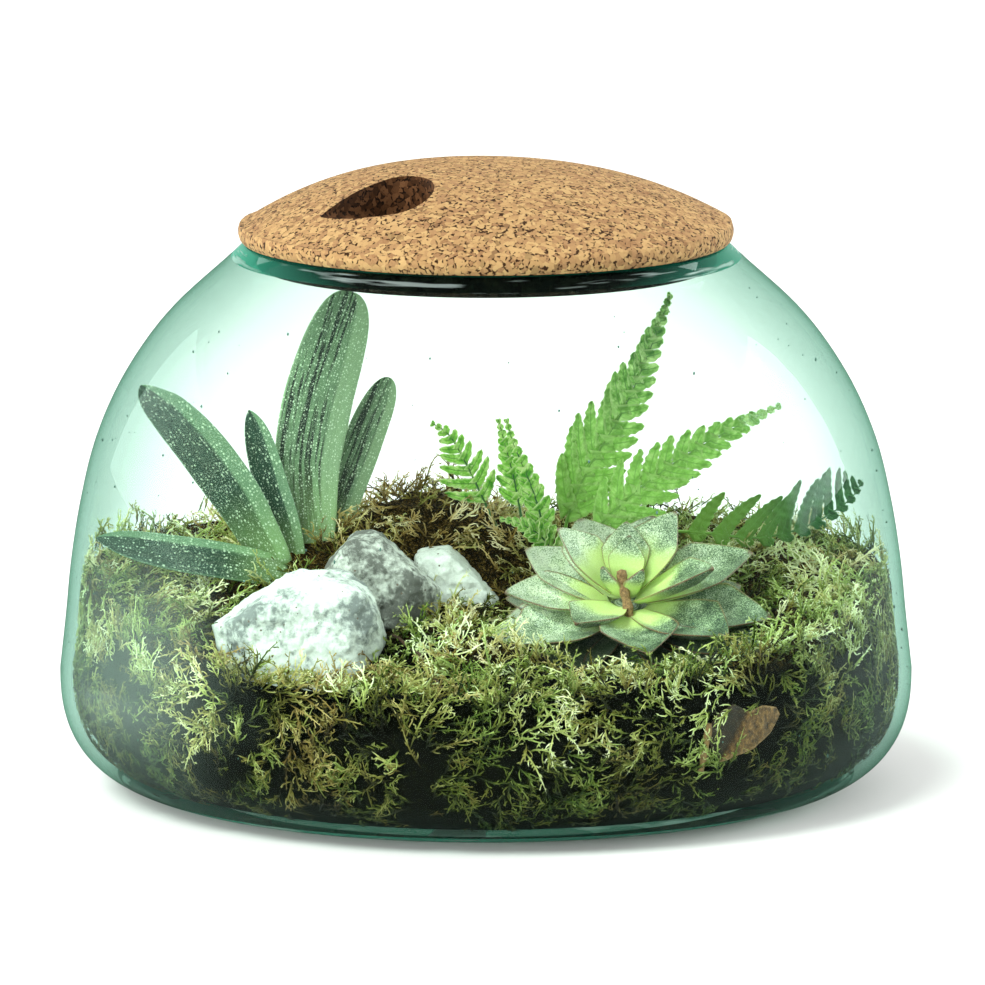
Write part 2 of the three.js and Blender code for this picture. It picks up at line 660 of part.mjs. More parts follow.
function rosetteLeaf([turn, tilt, length, drop]) {
  const [a, b] = [THREE.MathUtils.degToRad(turn), THREE.MathUtils.degToRad(tilt)];
  const spine = ROSETTE_SPINE.map((share) => {
    const out = length * share * Math.cos(b);
    const bow = LEAF_BOW.much * share * (share - LEAF_BOW.from);
    const rise = length * (Math.sin(b) * share + bow) - drop;
    return leaned([out * Math.cos(a), out * Math.sin(a), rise]).add(at(ROSETTE_PLACE)).toArray();
  });
  const face = leaned([-Math.sin(b) * Math.cos(a), -Math.sin(b) * Math.sin(a), Math.cos(b)]);
  const widthAt = (t) => {
    if (t >= LEAF_WIDEST) return ((1 - t) / (1 - LEAF_WIDEST)) ** LEAF_POINT;
    return LEAF_WAIST + (1 - LEAF_WAIST) * Math.sin((t / LEAF_WIDEST) * (Math.PI / 2));
  };
  const section = (t) => {
    const half = LEAF_HALF * length * widthAt(t);
    const thick = t < 1 ? LEAF_THICK * Math.min(1, widthAt(t) + LEAF_THIN_END) : 0;
    const rim = LEAF_RIM * half;
    return [[-half, rim], [0, 0], [half, rim], [0, -thick - LEAF_KEEL]];
  };
  return swept(spine, face, ROSETTE_STOPS, section);
}

function rosette(stub) {
  const { heights, foot, top, steps, sides } = ROSETTE_CORE;
  const axis = heights.map((height) => leaned([0, 0, height]).add(at(ROSETTE_PLACE)).toArray());
  const core = stem(axis, foot, top, steps, sides);
  return cutBy(ROSETTE_LEAVES.reduce((joined, leaf) => joined.add(rosetteLeaf(leaf)), core), [stub]);
}

// The moss is pressed into a hollow that leans as the rosette does, and the rosette's short stem stands
// in a hole in the soil under it. Each ring is [radius, height], and is shorter from front to back.
const HOLLOW_SHORT = 0.88;
const HOLLOW_RINGS = [[7, -25], [8, -16], [22, -18], [52, -25.5], [55, 45]];
const HOLLOW_SIDES = 14;

function rosetteHollow() {
  return loft(HOLLOW_RINGS.map(([radius, height]) => Array.from({ length: HOLLOW_SIDES }, (_, i) => {
    const turn = (i / HOLLOW_SIDES) * 2 * Math.PI;
    return leaned([radius * Math.cos(turn), HOLLOW_SHORT * radius * Math.sin(turn), height]).add(at(ROSETTE_PLACE));
  })));
}

// Each frond's bare stalk stands in a plain hole, which bends as the stalk does.
function stalkHoles() {
  return Object.values(FRONDS).map(({ spine, face, bare }) => {
    const stops = evenStops(BARE_STEPS).map((share) => share * bare);
    return swept(spine, at(face), stops, () => circle(STALK_HOLE_RADIUS, STALK_HOLE_SIDES));
  });
}

// The dry leaf stands against the inside of the glass at the front right.
const DRY_LEAF_TURN = -51;
const DRY_LEAF_HEIGHT = 37;
const DRY_LEAF_CURL = 0.02;
const DRY_LEAF_POCKET = { from: 132.6, deep: 12, wide: 31, high: 23 };
const DRY_LEAF_RIB = [[-12, -3], [-5, -2], [2, 0.5], [9, 3], [14, 4]];
const DRY_LEAF_ABOVE = [[12, 7], [5, 10], [-3, 9], [-8, 5]];
const DRY_LEAF_BELOW = [[-7, -8], [-1, -11], [6, -8], [11, -3]];

// How far from the axis the flat sides of the glass leave room at a height.
function insideRadius(height) {
  const wall = bowlInside(GAP);
  const above = Math.max(wall.findIndex(([, z]) => z >= height), 1);
  const [[lowRadius, low], [highRadius, high]] = [wall[above - 1], wall[above]];
  const radius = lowRadius + ((highRadius - lowRadius) * (height - low)) / (high - low);
  return radius * Math.cos(Math.PI / SIDES);
}

function dryLeaf() {
  const [rib, over, under] = [DRY_LEAF_RIB, DRY_LEAF_ABOVE, DRY_LEAF_BELOW].map((list) =>
    list.map(([across, up]) => new THREE.Vector2(across, up)),
  );
  return blade([[...rib, ...over], [...under, ...rib.slice().reverse()]], (point) => {
    const height = DRY_LEAF_HEIGHT + point.y;
    const radius = insideRadius(height) - BLADE_HALF - DRY_LEAF_CURL * point.y ** 2;
    const turn = THREE.MathUtils.degToRad(DRY_LEAF_TURN) + point.x / radius;
    const normal = at([Math.cos(turn), Math.sin(turn), 0]);
    return { middle: normal.clone().multiplyScalar(radius).setZ(height), normal, half: BLADE_HALF };
  });
}

// The hollow behind it in the moss.
function dryLeafPocket() {
  const { from, deep, wide, high } = DRY_LEAF_POCKET;
  const pocket = new THREE.BoxGeometry(deep, wide, high).translate(from + deep / 2, 0, DRY_LEAF_HEIGHT);
  return solidFrom(pocket.rotateZ(THREE.MathUtils.degToRad(DRY_LEAF_TURN)));
}

// What has fallen on the moss lies half sunk along a route, given by its points in plan.
const FALLEN = {
  fallen_green_stem: {
    route: [[-11, -21], [-9.5, -28], [-8.2, -40], [-8, -54], [-10, -66], [-16, -73]],
    radius: 0.65,
    material: stemGreen,
  },
  fallen_dark_twig: {
    route: [[-31, -52], [-25.1, -69.8], [-20.5, -90], [-17, -111.8], [-13.5, -124]],
    radius: 0.6,
    material: driedBrown,
  },
};
const FALLEN_STEPS = 14;
const FALLEN_SIDES = 5;

function fallen({ route, radius }, bed) {
  const plan = new THREE.SplineCurve(route.map(([x, y]) => new THREE.Vector2(x, y)));
  const down = new THREE.Vector3(0, 0, -1);
  const points = evenStops(FALLEN_STEPS).map((share) => {
    const { x, y } = plan.getPointAt(share);
    const ray = new THREE.Raycaster(at([x, y, RIM_HEIGHT]), down);
    return [x, y, ray.intersectObject(bed)[0].point.z];
  });
  return swept(points, at([0, 0, 1]), evenStops(FALLEN_STEPS), () => circle(radius, FALLEN_SIDES));
}

const OX_TONGUE_STEM = {
  points: [[-64, 11, 54], [-64, 11, 62], [-64, 11, 70.4]],
  foot: 8,
  top: 11,
  steps: 2,
  sides: 9,
};
const FLOWER_STUB = {
  points: [[46.4, -48.5, 59], [47.3, -52, 66.4], [45, -50.5, 81.2]],
  foot: 2.1,
  top: 1.7,
  steps: 4,
  sides: 7,
};

function straightStem({ points, foot, top, steps, sides }) {
  return stem(points, foot, top, steps, sides);
}

const tongues = [];
const oxTongueStem = straightStem(OX_TONGUE_STEM);
for (const [name, shape] of Object.entries(TONGUES)) {
  const leaf = cutBy(tongue(shape), [oxTongueStem, ...tongues]);
  tongues.push(leaf);
  addPart(name, leaf, spottedLeaf);
}
addPart('ox_tongue_stem', oxTongueStem, driedBrown);

const fronds = [];
for (const [name, shape] of Object.entries(FRONDS)) {
  const leaf = frond(shape);
  fronds.push(leaf);
  addPart(name, leaf, fernGreen);
}

const flowerStub = straightStem(FLOWER_STUB);
const rosetteHead = rosette(flowerStub);
addPart('rosette_flower_stub', flowerStub, driedBrown);
addPart('rosette', rosetteHead, dustyLeaf);

const stones = [];
for (const [name, { centre, planes, detail }] of Object.entries(STONES)) {
  const worn = cutBy(stone(centre, planes, detail), stones);
  stones.push(worn);
  addPart(name, worn, limestone);
}

addPart('dry_leaf', dryLeaf(), driedBrown);

const pushedIn = [oxTongueStem, ...tongues, ...stones, ...stalkHoles(), rosetteHollow()];
addPart('soil', cutBy(soil(), pushedIn, SOFT_GAP), earth);

const bed = cutBy(mossBed().subtract(dryLeafPocket()), pushedIn, SOFT_GAP);
const bedShape = new THREE.Mesh(geometryOf(bed), moss);
const onTheMoss = Object.entries(FALLEN).map(([name, piece]) => {
  const solid = fallen(piece, bedShape);
  addPart(name, solid, piece.material);
  return solid;
});
addPart('moss_bed', cutBy(bed, onTheMoss), moss);

addPart('glass_bowl', bowl(), glass);
addPart('cork_lid', lid(), cork);

export default group;
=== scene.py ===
"""Dresses a closed garden: a squat glass bowl with a cork lid, over moss, stones and three kinds of plant."""

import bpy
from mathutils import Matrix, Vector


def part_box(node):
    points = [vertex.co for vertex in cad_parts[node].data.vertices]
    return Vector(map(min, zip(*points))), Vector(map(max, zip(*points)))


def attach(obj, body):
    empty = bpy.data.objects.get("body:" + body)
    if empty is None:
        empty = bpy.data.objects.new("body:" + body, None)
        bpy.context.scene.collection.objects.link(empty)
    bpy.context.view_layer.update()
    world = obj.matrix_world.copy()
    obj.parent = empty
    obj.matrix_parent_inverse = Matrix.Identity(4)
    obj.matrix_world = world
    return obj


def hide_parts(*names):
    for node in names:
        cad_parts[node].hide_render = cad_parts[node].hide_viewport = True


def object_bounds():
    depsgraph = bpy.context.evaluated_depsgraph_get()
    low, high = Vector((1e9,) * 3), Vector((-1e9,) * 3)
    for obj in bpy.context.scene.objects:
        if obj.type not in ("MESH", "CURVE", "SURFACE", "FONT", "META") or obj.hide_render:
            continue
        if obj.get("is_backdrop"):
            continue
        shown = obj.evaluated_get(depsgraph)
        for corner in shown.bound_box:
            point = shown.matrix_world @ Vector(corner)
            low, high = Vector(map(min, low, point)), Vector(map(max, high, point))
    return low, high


bl_info = {
    "name": "Glass plant terrarium",
    "version": (1, 0, 0),
    "blender": (4, 5, 0),
    "location": "View3D > Sidebar > Terrarium",
    "description": "Builds the glass, cork, moss, stones and plants of a closed garden round its packed frame",
    "category": "Object",
}

import random
from bisect import bisect_right
from functools import partial
from math import atan2, cos, exp, hypot, pi, radians, sin, sqrt, tau

import bmesh
import bpy
from bpy.props import FloatProperty, FloatVectorProperty, IntProperty, PointerProperty
from mathutils import Matrix, Vector, noise
from mathutils.geometry import interpolate_bezier

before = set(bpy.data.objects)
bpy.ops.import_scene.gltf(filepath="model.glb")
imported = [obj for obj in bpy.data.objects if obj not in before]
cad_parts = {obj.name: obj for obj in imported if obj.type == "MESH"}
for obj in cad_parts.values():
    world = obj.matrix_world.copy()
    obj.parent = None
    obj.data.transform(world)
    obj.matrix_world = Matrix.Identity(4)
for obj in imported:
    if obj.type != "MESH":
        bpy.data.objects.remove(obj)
CAD_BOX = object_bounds()

# Shapes are worked out in millimetres, and each finished mesh is scaled to metres.
MM = 0.001
_, BOWL_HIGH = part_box("glass_bowl")
LID_LOW, LID_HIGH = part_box("cork_lid")

# The bowl's wall, as the real one curves: a soft corner, a lean-in shoulder and an upright collar.
BOWL_RADIUS = BOWL_HIGH.x / MM - 0.01
BASE_RADIUS = 97.3
BELLY_HEIGHT = 40.0
CORNER_OUT = 0.79
CORNER_UP = 0.8
SHOULDER = [(140.6, 58), (138.8, 76), (135.6, 96), (130.4, 117), (121, 138), (106.4, 158.6), (85, 178.6)]
COLLAR_RADIUS = 81.0
RIM_HEIGHT = BOWL_HIGH.z / MM
# How the rim rounds off outside and inside, as (out, up) from the collar's two edges.
RIM_OUTSIDE = [(0, -1.0), (-0.4, -0.2), (-1.2, 0)]
RIM_INSIDE = [(1.0, 0), (0.3, -0.4), (0, -1.2)]
WALL = 3.6
FLOOR = 4.2
SEED_COUNT = 150
SEED_SIZES = (0.18, 0.22, 0.28, 0.4)

# The lid: a shallow dome, a rounded edge and a plug in the mouth.
LID_TOP = LID_HIGH.z / MM
PLUG_FOOT = LID_LOW.z / MM
LID_SEAT = RIM_HEIGHT + 0.3
PLUG_RADIUS = COLLAR_RADIUS - WALL - 0.5
DOME_RADIUS = 82.0
DOME_FOOT = 189.6
DOME_RISE = 20.0
DOME_POWER = 2.5
DOME_SHIFT = 1.1
DOME_LEAN = 0.017
LID_EDGE = [(82.3, 189.0), (82.6, 187.9), (82.55, 186.4), (82.1, 184.9), (81.2, 183.9)]
# Each finish of the cork has its shades, the colour of the gaps between its grains, and the share of bark flecks. The
# scoop's finish is darker partly as painted shade, and the plug's near-black finish is painted shade.
CORK_LOOKS = (
    ("sanded", [(0.05, "#6A4B2C"), (0.25, "#836444"), (0.55, "#92744C"), (0.95, "#A3875A")], "#2C1A0C", 0.05),
    ("cut and unsanded", [(0.05, "#1A0F07"), (0.4, "#3A2413"), (0.95, "#5E4028")], "#140C06", 0.1),
    ("sealed", [(0.05, "#070504"), (0.4, "#120E0A"), (0.95, "#241C14")], "#020101", 0.1),
)
# The scoop for a finger: its pointed tip, the middle of its round end, and how its floor falls.
SCOOP_TIP = (-56, -39.5)
SCOOP_CENTRE = (-29, -35)
SCOOP_HALF = (12, 17.5)
SCOOP_NEAR_BEND = 14
SCOOP_FAR_BEND = 6
SCOOP_TIP_FLOOR = 197
SCOOP_END_FLOOR = 191.5

# Where the inner glass carries a painted reflection, a soft white haze, in metres.
PAINTED_REFLECTION_PLACE = (-0.118, -0.07, 0.052)
PAINTED_REFLECTION_REACH = (0.05, 0.1, 0.052)

# The moss lies in low mounds and hollows: (x, y, height, reach) of each.
MOSS_LEVEL = 62
MOSS_SLOPE = 0.07
MOSS_SIDE_RISE = 12
MOUNDS = [
    (-20, 42, 27, 38), (-66, 14, 11, 24), (30, 24, 9, 28), (48, -52, -7, 30),
    (-60, -76, -12, 30), (4, -84, 7, 24), (-6, -54, 6, 22), (92, 34, 4, 24),
]
# The sprigs: length, reach of the side strands, how many there are, and curl.
SPRIG_KINDS = [
    (11, 5.0, 4, 2.6), (14, 4.6, 5, 3.4), (7.5, 5.0, 4, 1.6), (10, 4.2, 4, 3.6), (16, 3.6, 4, 4.4), (12, 5.4, 5, 2.8),
]
SECTORS = ("left", "front_left", "front_right", "right", "back_right", "back_left")
GOLDEN_TURN = 2.39996
OX_TONGUE_FOOT = (-64, 12)
ROSETTE_PLACE = (46, -45, 70.6)
ROSETTE_LEAN = radians(20)
HOLLOW = {"centre": (47, -47), "across": 52, "deep": 50, "fall": 17}

# Each stone has flats as (turn, tilt up, distance from its centre). No moss stands nearer than its room.
STONES = {
    "stone_front": {
        "centre": (-61, -62, 62), "room": 30,
        "look": ("Tumbled limestone, white", "#D8DBD6", "#5C6163", 0.74),
        "planes": [
            (180, 58, 17.6), (0, 90, 19), (0, 47, 24.5), (0, 12, 26.5), (0, -54, 21), (0, -90, 19), (180, -10, 28),
            (270, 12, 20), (90, 8, 18), (225, 0, 25), (315, 0, 26), (135, 18, 24), (45, 10, 25), (255, 52, 21),
        ],
    },
    "stone_middle": {
        "centre": (-35.5, -26, 72.5), "room": 17,
        "look": ("Tumbled limestone, grey", "#C8C9C2", "#3E3D39", 0.64),
        "planes": [
            (180, 40, 16.5), (180, 90, 15.4), (0, 49, 11.8), (0, -5, 20), (0, -90, 14), (180, -5, 18.5), (270, 5, 12),
            (90, 5, 14), (225, 10, 16), (315, -5, 16), (60, 20, 15), (290, 40, 13),
        ],
    },
    "stone_back": {
        "centre": (-8.5, 1, 65.5), "room": 15,
        "look": ("Tumbled limestone, chalky", "#E6E8E2", "#85877F", 0.84),
        "planes": [
            (180, 80, 14.2), (0, 47, 7.6), (0, -8, 18.5), (180, 10, 16), (0, -90, 13), (270, 5, 14), (90, 5, 13),
            (225, 5, 15), (320, 0, 16), (60, 15, 14),
        ],
    },
}

# Each ox-tongue leaf has half its width, the share of that at its foot, its thickness, and how blunt its tip is.
TONGUES = {
    "ox_tongue_leaf_tall": {
        "spine": [(-58.5, 17, 71), (-59, 18.5, 84), (-60, 20, 100), (-59.4, 21, 110), (-56.4, 22, 126.3),
                  (-52, 24, 141.3), (-48, 26, 153.2), (-45, 27, 162.4)],
        "face": (0.05, -1, 0.1), "width": 12.2, "foot": 0.55, "thick": 3.8, "blunt": 0.42,
    },
    "ox_tongue_leaf_back": {
        "spine": [(-55.5, 27.5, 72), (-52.5, 29, 80), (-47.5, 31, 94.4), (-43.1, 33, 105.8), (-39.1, 35, 116.1),
                  (-35.2, 36, 125), (-32.4, 37, 131.6)],
        "face": (0.1, -1, 0.2), "width": 7.0, "foot": 0.75, "thick": 2.8, "blunt": 0.5,
    },
    "ox_tongue_leaf_small": {
        "spine": [(-64.5, 9, 71), (-66, 8.6, 80), (-68.5, 8.4, 89), (-71.4, 9, 97.5), (-74.4, 10, 108.2),
                  (-77, 11, 117.6), (-79.4, 12, 124.6)],
        "face": (-0.2, -1, 0.1), "width": 6.2, "foot": 0.7, "thick": 2.6, "blunt": 0.8,
    },
    "ox_tongue_leaf_arched": {
        "spine": [(-69.5, 2, 71.5), (-73, 1.5, 79), (-77.5, 1, 87), (-82.5, 0, 96), (-88.7, -1, 105.1),
                  (-96, -3, 115.3), (-104.8, -6, 125.8), (-110.5, -8, 131.4), (-115, -10, 136.4)],
        "face": (-0.45, -1, -0.2), "width": 10.6, "foot": 0.6, "thick": 3.4, "blunt": 0.7,
    },
    "ox_tongue_leaf_low": {
        "spine": [(-66, 1, 72.5), (-72, -4.5, 73.6), (-79, -7.5, 75.2), (-92.2, -10.5, 78), (-105.5, -13.5, 80.6),
                  (-118.7, -16, 83.6), (-130, -18, 86.2)],
        "face": (0.1, -0.75, 0.65), "width": 7.6, "foot": 0.8, "thick": 3.2, "blunt": 0.9,
    },
}

# Each frond has the bare share of its stalk, its pairs of leaflets, the longest leaflet's reach, and for the left and
# right side the share of that reach and the slant. Room is how much of its step on the rib a leaflet takes up.
FRONDS = {
    "fern_frond_tall": {
        "spine": [(23, 24, 58), (25, 23, 72), (28, 22.5, 88), (34.9, 22, 103.5), (43.7, 22.5, 118.2), (51, 23.5, 133),
                  (58.1, 25, 150.7), (62.3, 26, 163)],
        "face": (-0.1, -1, 0.15), "bare": 0.24, "pairs": 13, "reach": 25, "sides": (1, 0.66),
        "slants": (40, 60), "room": 0.52,
    },
    "fern_frond_right": {
        "spine": [(30.5, 13.5, 58), (31.5, 12, 72), (36, 9, 83), (45, 5.5, 93), (55, 3, 102), (70.6, 1, 113.1),
                  (85, -1, 121.5), (99.5, -2, 129)],
        "face": (-0.1, -0.9, 0.55), "bare": 0.26, "pairs": 11, "reach": 21, "sides": (0.9, 1),
        "slants": (54, 50), "room": 0.47,
    },
    "fern_frond_far_right": {
        "spine": [(35, 27, 56), (41, 29, 71), (54, 32, 79), (70, 33, 79.5), (88, 30.5, 78), (98, 27, 79.5),
                  (108, 22, 83.5), (116, 18, 88.5), (123, 13, 95), (126.5, 10, 102)],
        "face": (-0.3, -1, 0.12), "bare": 0.38, "pairs": 9, "reach": 19, "sides": (1, 0.22), "taper": 6,
        "slants": (62, 50), "room": 0.36,
    },
    "fern_frond_left": {
        "spine": [(9, 28, 62), (6, 30, 76), (1, 30, 87), (-3.5, 29.5, 97), (-8.5, 29, 107), (-13, 28.5, 114),
                  (-19, 28, 118)],
        "face": (0.1, -1, 0.3), "bare": 0.46, "pairs": 7, "reach": 15, "sides": (1, 0.8),
        "slants": (66, 60), "room": 0.44,
    },
    "fern_frond_left_upright": {
        "spine": [(14, 30, 62), (13, 31, 76), (11, 32, 90), (8, 32.5, 104), (4, 33, 118.5)],
        "face": (0, -1, 0.1), "bare": 0.46, "pairs": 7, "reach": 9, "sides": (1, 1),
        "slants": (52, 52), "room": 0.5,
    },
    "fern_frond_centre": {
        "spine": [(18, 12.5, 60), (19.5, 11, 74), (18.5, 10, 88), (14.5, 9.5, 101), (9.5, 9, 113), (6.6, 9, 122.5)],
        "face": (0, -1, 0.1), "bare": 0.28, "pairs": 9, "reach": 8, "sides": (1, 1),
        "slants": (52, 52), "room": 0.5,
    },
    "fern_frond_low": {
        "spine": [(23, 8, 60), (23, 4, 74), (19, -1, 83), (12, -5, 88.5), (4.5, -8, 91)],
        "face": (0.1, -0.8, 0.6), "bare": 0.34, "pairs": 6, "reach": 9, "sides": (1, 1),
        "slants": (56, 56), "room": 0.5,
    },
}

# The rosette's leaves, from its heart outwards: (turn, tilt up, length, drop of the foot).
ROSETTE_LEAVES = [
    (80, 65, 20, 0), (200, 58, 15, 0), (320, 60, 15, 0), (88, 45, 26, 1), (46, 42, 33, 1), (156, 40, 31.6, 1),
    (339, 30, 36, 2), (237, 10, 31, 2), (280, 5, 43, 3), (19, 12, 46, 3), (181, 5, 40, 3), (217, 0, 47, 4),
    (319, 5, 45, 4), (349, 0, 49.5, 5), (75, 18, 40, 4), (112, 16, 41, 4), (145, 12, 41, 5), (333, -6, 51, 6),
    (341, -10, 52, 9.5), (311, -9, 39, 9), (229, -9, 38, 9), (191, -8, 47, 7), (265, -12, 38, 10), (30, -2, 45, 9),
    (95, 2, 40, 9), (160, -2, 42, 9),
]
FLOWER_STUB = [(46.4, -48.5, 59), (47.3, -52, 66.4), (45.4, -51, 76), (44.8, -50.5, 81.2)]
OX_TONGUE_STEM = [(-64, 11, 54), (-64, 11, 62), (-64, 11, 70.4)]
GREEN_STEM = [(-11, -21), (-9.5, -28), (-8.2, -40), (-8, -54), (-10, -66), (-16, -73)]
DARK_TWIG = [(-31, -52), (-25.1, -69.8), (-20.5, -90), (-17, -111.8), (-13.5, -124)]
# The dry leaf on the glass: its upper and lower edge as (run, height) from its middle, and the crease across it.
DRY_LEAF = {
    "turn": -51, "height": 37,
    "upper": [(-17, 0), (-15, 4.7), (-11.4, 7.7), (-6.3, 9.7), (-0.4, 6.7), (5.5, 8.1), (11.4, 6.7), (12.6, 4.3)],
    "lower": [(-17, 0), (-15.2, -4.7), (-11.8, -9), (-5.1, -7.3), (0.8, -6), (8.4, -1.3), (12.6, 4.3)],
    "crease": (-1.7, 5.3), "crease_normal": (0.81, -0.585), "clear_of_moss": (13, 9),
}
LEAF_TURN = radians(DRY_LEAF["turn"])

# The stage, in metres: the floor runs flat under the part and then up all round it.
FLOOR_OUTLINE = [(0, 0), (2.5, 0), (6, 0), (8, 0.15), (9.4, 0.8), (10.2, 2.0), (10.5, 3.6), (10.5, 6.0)]
# Each lamp has its kind, place, what it is aimed at, and settings. The power of all is scaled by the lamp power.
LAMPS = {
    "key": ("SUN", (0, 0, 0), (0.45, 0.42, -1.0), {"energy": 3.6, "angle": radians(24)}),
    "left_softbox": (
        "AREA", (-1.41, 0.51, 0.5), (0, 0, 0.08), {"energy": 16, "shape": "RECTANGLE", "size": 1.7, "size_y": 0.7},
    ),
    "right_softbox": (
        "AREA", (1.3, 0.5, 0.6), (0, 0, 0.08), {"energy": 22, "shape": "RECTANGLE", "size": 0.8, "size_y": 0.8},
    ),
    "front_softbox": (
        "AREA", (-0.7, -1.5, 0.5), (0, 0, 0.09), {"energy": 27, "shape": "RECTANGLE", "size": 1.5, "size_y": 0.9},
    ),
    # A pool of light on the floor beside the bowl, which the glass mirrors.
    "pool": (
        "SPOT", (-0.42, 0, 1.2), None,
        {"energy": 330, "spot_size": radians(24), "spot_blend": 0.8, "shadow_soft_size": 0.05},
    ),
}
# The blown glass would mirror these as hard patches.
NOT_MIRRORED = ("key", "front_softbox")
CAMERA_AIM = (0.0022, 0, 0.0985)
CAMERA_AWAY = 4.5
CAMERA_DOWN = radians(9.44)
CAMERA_LENS = 492


def linear(hex_colour):
    """A linear colour with alpha from an sRGB hex value."""
    parts = [int(hex_colour[i:i + 2], 16) / 255 for i in (1, 3, 5)]
    return [p / 12.92 if p <= 0.04045 else ((p + 0.055) / 1.055) ** 2.4 for p in parts] + [1.0]


def per_metre(millimetres):
    """The texture scale that gives a pattern whose cells are this long."""
    return 1 / (millimetres * MM)


def smooth_step(low, high, value):
    """Goes softly from 0 at low to 1 at high."""
    share = min(max((value - low) / (high - low), 0), 1)
    return share * share * (3 - 2 * share)


def add_node(tree, kind, inputs=None, **settings):
    """Adds a shader node with its settings, and sets or links its inputs.

    A node given as an input links the first output that it has in use, and a hex colour is made linear.
    """
    node = tree.nodes.new("ShaderNode" + kind)
    for name, value in settings.items():
        setattr(node, name, value)
    for socket, value in (inputs or {}).items():
        if isinstance(value, bpy.types.Node):
            value = next(output for output in value.outputs if output.enabled)
        if isinstance(value, bpy.types.NodeSocket):
            tree.links.new(value, node.inputs[socket])
        else:
            node.inputs[socket].default_value = linear(value) if isinstance(value, str) else value
    return node


def set_stops(ramp_node, stops):
    """Sets a colour ramp's stops from (position, sRGB hex) pairs."""
    elements = ramp_node.color_ramp.elements
    while len(elements) < len(stops):
        elements.new(1.0)
    for element, (position, colour) in zip(elements, stops):
        element.position = position
        element.color = linear(colour)
    return ramp_node


def blank_material(name):
    """A material without nodes, and the function that adds them."""
    material = bpy.data.materials.new(name)
    material.use_nodes = True
    material.node_tree.nodes.clear()
    return material, partial(add_node, material.node_tree)


def split_note(add, name):
    """The three values of a vector attribute."""
    note = add("Attribute", attribute_name=name).outputs["Vector"]
    return add("SeparateXYZ", {0: note}).outputs


def rough_skin(add, colour, height, roughness, strength, deep, more=None):
    """A surface whose relief follows a height, at a strength and as many millimetres deep."""
    bump = add("Bump", {"Strength": strength, "Distance": deep * MM, "Height": height})
    return add("BsdfPrincipled", {"Base Color": colour, "Roughness": roughness, "Normal": bump, **(more or {})})


class Spine:
    """A smooth curve through points, with a frame at each share of its length."""

    def __init__(self, points, face=(0.31, -0.95, 0.05)):
        knots = [Vector(p) for p in points]
        ends = [2 * knots[0] - knots[1], *knots, 2 * knots[-1] - knots[-2]]
        self.dots = []
        for before, start, end, after in zip(ends, ends[1:], ends[2:], ends[3:]):
            leg = interpolate_bezier(start, start + (end - before) / 6, end - (after - start) / 6, end, 10)
            self.dots += leg[:-1]
        self.dots.append(knots[-1])
        self.reached = [0.0]
        for here, there in zip(self.dots, self.dots[1:]):
            self.reached.append(self.reached[-1] + (there - here).length)
        self.length = self.reached[-1]
        self.face = Vector(face)
        self.known = {}

    def frame(self, share):
        """The centre, and the ways along, across and up, at a share of the length."""
        key = round(share, 5)
        if key not in self.known:
            far = share * self.length
            i = min(max(bisect_right(self.reached, far) - 1, 0), len(self.dots) - 2)
            leg = self.reached[i + 1] - self.reached[i]
            centre = self.dots[i].lerp(self.dots[i + 1], (far - self.reached[i]) / leg)
            along = (self.dots[min(i + 2, len(self.dots) - 1)] - self.dots[max(i - 1, 0)]).normalized()
            across = along.cross(self.face).normalized()
            self.known[key] = (centre, along, across, across.cross(along))
        return self.known[key]


def new_shape(*notes):
    """An empty bmesh with a vector attribute for each note that its material reads."""
    shape = bmesh.new()
    for note in notes:
        shape.verts.layers.float_vector.new(note)
    return shape


def net(shape, columns, rows, place):
    """A net of quads. place(u, v) gives a corner's point, then a value for each of the shape's attributes."""
    layers = shape.verts.layers.float_vector.values()
    for corner in bmesh.ops.create_grid(shape, x_segments=columns, y_segments=rows, size=0.5)["verts"]:
        point, *notes = place(corner.co.x + 0.5, corner.co.y + 0.5)
        corner.co = point
        for layer, note in zip(layers, notes):
            corner[layer] = note


def close_up(shape, near=1e-4):
    """Joins the corners that meet at seams and poles, and turns the faces outwards."""
    bmesh.ops.remove_doubles(shape, verts=shape.verts, dist=near)
    bmesh.ops.recalc_face_normals(shape, faces=shape.faces)


def round_stem(shape, spine, sides, steps, radius):
    """A tube along a spine whose radius(share) is nothing at both ends, so that it closes."""

    def place(u, v):
        centre, _, across, up = spine.frame(v)
        turn = tau * u
        width = radius(v) if 0 < v < 1 else 0
        offset = across * cos(turn) + up * sin(turn)
        return (centre + offset * width, Vector((cos(turn), v, 1)), Vector((width, v * spine.length, 0)))

    net(shape, sides, steps, place)


def finished_stem(name, spine, sides, steps, radius, material, replaced, slot):
    """A piece that is only a stem, along its spine."""
    shape = new_shape()
    round_stem(shape, spine, sides, steps, radius)
    close_up(shape)
    finished(name, shape, [material], [replaced], slot)


def spin_round(shape, outline, steps):
    """Spins an outline of (radius, height) points once round the axis."""
    corners = [shape.verts.new((radius, 0, height)) for radius, height in outline]
    edges = [shape.edges.new(pair) for pair in zip(corners, corners[1:])]
    bmesh.ops.spin(
        shape, geom=corners + edges, cent=(0, 0, 0), axis=(0, 0, 1), angle=tau, steps=steps, use_merge=True,
        use_duplicate=False,
    )


def to_mesh(name, shape, materials=(), scale=MM):
    """Turns a shape into a mesh, at first with flat shading. The shape is used up."""
    bmesh.ops.scale(shape, vec=(scale,) * 3, verts=shape.verts)
    mesh = bpy.data.meshes.new(name)
    shape.to_mesh(mesh)
    shape.free()
    for material in materials:
        mesh.materials.append(material)
    return mesh


def put_in_scene(name, data):
    """A new object at the origin, unturned."""
    thing = bpy.data.objects.new(name, data)
    bpy.context.collection.objects.link(thing)
    return thing


def finished(name, shape, materials, replaced=(), slot=None, smooth=True):
    """Makes the piece from a shape in millimetres, hangs it on the root body, and hides the parts that it replaces."""
    mesh = to_mesh(name, shape, materials)
    if smooth:
        mesh.shade_smooth()
    piece = put_in_scene(name, mesh)
    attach(piece, "root")
    if replaced:
        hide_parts(*replaced)
    return piece


